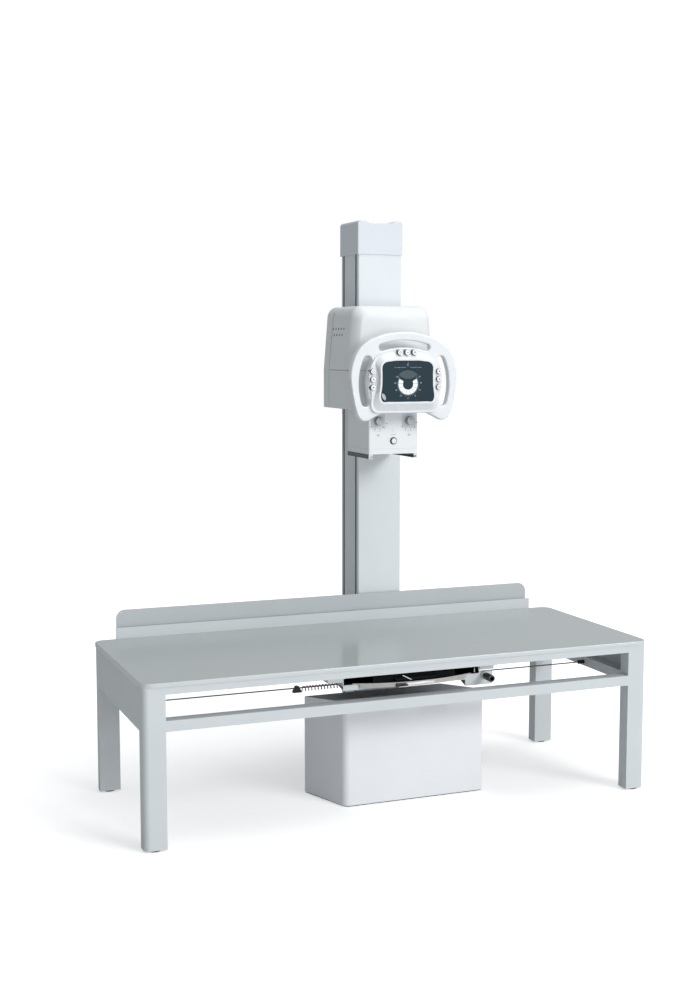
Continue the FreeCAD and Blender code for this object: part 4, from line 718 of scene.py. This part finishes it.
def bored(thing, cutter, inside):
    """Cut a shape out of a piece for good; the walls of the cut take another material."""
    bmesh.ops.recalc_face_normals(cutter.bm, faces=cutter.bm.faces)
    mesh = bpy.data.meshes.new("cutter")
    cutter.bm.to_mesh(mesh)
    cutter.bm.free()
    mesh.materials.append(inside)
    tool = bpy.data.objects.new("cutter", mesh)
    bpy.context.scene.collection.objects.link(tool)
    cut = thing.modifiers.new("bores", "BOOLEAN")
    cut.operation, cut.object = "DIFFERENCE", tool
    cut.solver, cut.material_mode = "EXACT", "TRANSFER"
    bpy.context.view_layer.update()
    depsgraph = bpy.context.evaluated_depsgraph_get()
    done = bpy.data.meshes.new_from_object(thing.evaluated_get(depsgraph))
    thing.modifiers.clear()
    thing.data = done
    thing.data.set_sharp_from_angle(angle=math.radians(35))
    bpy.data.objects.remove(tool)


hood_shell()


# ---------------------------------------------------------------- collimator front
def knob_dials():
    """A tinted plate and ticks round each knob, and a cap and a pointer on it."""
    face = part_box("collimator_housing")[0][1]
    for side in ("left", "right"):
        node = "knob_" + side
        low, high = (Vector(corner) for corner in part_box(node))
        x, z = (low.x + high.x) / 2, (low.z + high.z) / 2
        half, corner = 30 * MM, 6 * MM
        plate = Shape()
        outline = []
        for turn, (a, b) in zip((0, 90, 180, 270), ((1, 1), (-1, 1), (-1, -1), (1, -1))):
            outline += arc((x + a * (half - corner), z + b * (half - corner)), corner, turn,
                           turn + 90, 6)
        plate.slab(outline, "y", face - 0.35 * MM, 0.4 * MM)
        plate.made(node + "_plate", "head", "print_tint", "collimator_paint")
        ticks = Shape()
        for i in range(9):
            turn = 218 + i * 16
            spot = arc((x, z), 41 * MM, turn, turn, 1)[0]
            ticks.slab(bar(spot, (6 if i % 2 == 0 else 3.5) * MM, 1.3 * MM, turn), "y",
                       face - 0.5 * MM, 0.55 * MM)
            if i % 2 == 0:
                spot = arc((x, z), 34.5 * MM, turn, turn, 1)[0]
                ticks.slab(bar(spot, 3 * MM, 3.4 * MM, turn), "y", face - 0.5 * MM, 0.55 * MM)
        ticks.slab(ring_sector((x, z - 57 * MM), 3 * MM, 4.4 * MM, 0, 350, 16), "y",
                   face - PRINT, PRINT * 1.4)
        ticks.slab(bar((x + 8 * MM, z - 57 * MM), 5 * MM, 1.2 * MM, 90), "y",
                   face - PRINT, PRINT * 1.4)
        ticks.made(node + "_ticks", "head", "print_dark", "collimator_paint")
        front = low.y
        cap = Shape()
        cap.turned((x, front, z), "y", [(0.5 * MM, -0.5 * MM), (10.5 * MM, -0.5 * MM),
                                        (11.5 * MM, 0.0), (11.5 * MM, 0.4 * MM)])
        cap.made(node + "_cap", node, "knob_plastic", "knob_plastic")
        pointer = Shape()
        pointer.box((x - 0.8 * MM, front - 0.9 * MM, z + 4 * MM),
                    (x + 0.8 * MM, front + 0.2 * MM, z + 15 * MM), 0.3 * MM)
        pointer.made(node + "_pointer", node, "print_dark", "knob_plastic")


def collimator_marks():
    """The lamp button's sign and bezel, and the seam near the housing's bottom."""
    low, high = (Vector(corner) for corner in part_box("collimator_housing"))
    face = low.y
    marks = Shape()
    marks.slab(bar((0.1755, 1.390), 9 * MM, 1.6 * MM, 90), "y", face - PRINT, PRINT * 1.4)
    marks.slab(bar((0.176, 1.3725), 22 * MM, 2.2 * MM, 0), "y", face - PRINT, PRINT * 1.4)
    marks.made("lamp_sign", "head", "print_grey", "collimator_paint")
    button = [Vector(corner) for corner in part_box("lamp_button")]
    x, z = (button[0].x + button[1].x) / 2, (button[0].z + button[1].z) / 2
    bezel = Shape()
    bezel.slab(ring_sector((x, z), 11.9 * MM, 15 * MM, 0, 357, 48), "y", face - 1.2 * MM, 1.3 * MM)
    bezel.made("lamp_bezel", "head", "print_dark", "button_plastic")
    seam = Shape()
    level, out, lip = 1.3165, 0.35 * MM, 0.5 * MM
    seam.box((low.x - out, low.y - out, level), (high.x + out, low.y + 1 * MM, level + lip))
    for x in (low.x - out, high.x - 1 * MM):
        seam.box((x, low.y - out, level), (x + 1 * MM + out, high.y, level + lip))
    seam.made("collimator_seam", "head", "print_grey", "collimator_paint")


knob_dials()
collimator_marks()


# ---------------------------------------------------------------- bucky, wire and cord
def curly_cord():
    """The coiled lead on the wire: one spline through its turns, then a lead to the bucky."""
    low, high = (Vector(corner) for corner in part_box("curly_cord"))
    thickness = 3.5 * MM
    y, z = (low.y + high.y) / 2, (low.z + high.z) / 2
    radius = (high.z - low.z - thickness) / 2
    turns, per_turn = 12, 14
    start, end = low.x + 4 * MM, high.x - 6 * MM
    points = [(low.x - 10 * MM, y, z - 6 * MM), (low.x - 2 * MM, y, z - radius * 0.8)]
    count = turns * per_turn
    for i in range(count + 1):
        turn = math.radians(-90) + 2 * math.pi * i / per_turn
        points.append((start + (end - start) * i / count, y + radius * math.cos(turn),
                       z + radius * math.sin(turn)))
    points += [(high.x + 2 * MM, y - 6 * MM, z - radius * 0.9),
               (high.x + 14 * MM, y - 13 * MM, z + 2 * MM),
               (high.x + 18 * MM, y - 14 * MM, z + 25 * MM),
               (high.x + 8 * MM, y - 12 * MM, z + 47 * MM),
               (high.x - 20 * MM, y - 8 * MM, z + 56 * MM),
               (high.x - 60 * MM, y - 4 * MM, z + 57 * MM),
               (high.x - 88 * MM, y, z + 60 * MM), (high.x - 94 * MM, y, z + 68 * MM),
               (high.x - 95 * MM, y, z + 77 * MM)]
    curve = bpy.data.curves.new("cord_coil", "CURVE")
    curve.dimensions, curve.bevel_depth, curve.bevel_resolution = "3D", thickness / 2, 4
    curve.resolution_u, curve.use_fill_caps = 4, True
    spline = curve.splines.new("NURBS")
    spline.points.add(len(points) - 1)
    for point, place in zip(spline.points, points):
        point.co = (*place, 1)
    spline.order_u, spline.use_endpoint_u = 3, True
    curve.materials.append(MATERIALS["cord_rubber"])
    cord = bpy.data.objects.new("cord_coil", curve)
    bpy.context.scene.collection.objects.link(cord)
    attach(cord, "bucky")
    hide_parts("curly_cord")
    gland = Shape()
    tray_floor = 0.504
    gland.turned((high.x - 95 * MM, y, tray_floor), "z",
                 [(2.4 * MM, -14 * MM), (3.2 * MM, -12 * MM), (4.6 * MM, -4 * MM),
                  (7 * MM, -3.5 * MM), (7 * MM, 0.0)], 24)
    gland.made("cord_gland", "bucky", "black_plastic", "black_plastic")


def lock_sleeve():
    """A ribbed rubber sleeve over the lock's grip."""
    low, high = (Vector(corner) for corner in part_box("bucky_lock_grip"))
    x, z = (low.x + high.x) / 2, (low.z + high.z) / 2
    profile, start, length, ribs = [(9 * MM, 0.0), (12.6 * MM, 1.2 * MM)], low.y, 46 * MM, 6
    crest, groove, margin = 13.4 * MM, 12.5 * MM, 6 * MM
    for i in range(ribs):
        along = 3 * MM + (length - margin) * i / ribs
        step = (length - margin) / ribs
        profile += [(crest, along + step * 0.2), (crest, along + step * 0.7),
                    (groove, along + step * 0.8), (groove, along + step * 0.95)]
    profile += [(12.9 * MM, length - 1 * MM), (11.4 * MM, length)]
    sleeve = Shape()
    sleeve.turned((x, start, z), "y", profile, 36)
    sleeve.made("lock_sleeve", "bucky_lock", "cord_rubber", "black_plastic")


def tray_fittings():
    """On the tray's front rim: a latch plate and its dark pull; above it the pale ends of
    the clamp's lever and of a stop."""
    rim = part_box("cassette_tray")[0][1]
    plate = Shape()
    plate.box((-0.016, rim - 2 * MM, 0.4965), (0.094, rim + 4 * MM, 0.5075), 0.8 * MM)
    plate.box((-0.012, rim - 3.2 * MM, 0.5000), (0.060, rim - 1 * MM, 0.5045), 0.6 * MM)
    plate.made("latch_plate", "tray", "rack_metal", "tray_metal")
    pull = Shape()
    pull.box((-0.058, rim - 3 * MM, 0.4960), (-0.020, rim + 6 * MM, 0.5085), 1.5 * MM)
    pull.box((-0.036, rim - 9 * MM, 0.4985), (-0.014, rim - 2 * MM, 0.5040), 1.5 * MM)
    pull.made("latch_pull", "tray", "black_plastic", "black_plastic")
    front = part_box("tray_clamp")[0][1]
    lever = Shape()
    lever.slab([(-0.0290, 0.5345), (-0.0255, 0.5345), (0.0080, 0.5170), (0.0080, 0.5150),
                (0.0050, 0.5150), (-0.0290, 0.5325)], "y", front - 1.2 * MM, 1.4 * MM)
    lever.made("clamp_lever", "clamp", "print_tint", "tray_metal")
    stop = Shape()
    stop.box((0.2785, -0.3345, 0.5125), (0.2815, -0.3305, 0.5290), 0.6 * MM)
    stop.made("tray_stop", "tray", "print_tint", "tray_metal")


curly_cord()
lock_sleeve()
tray_fittings()
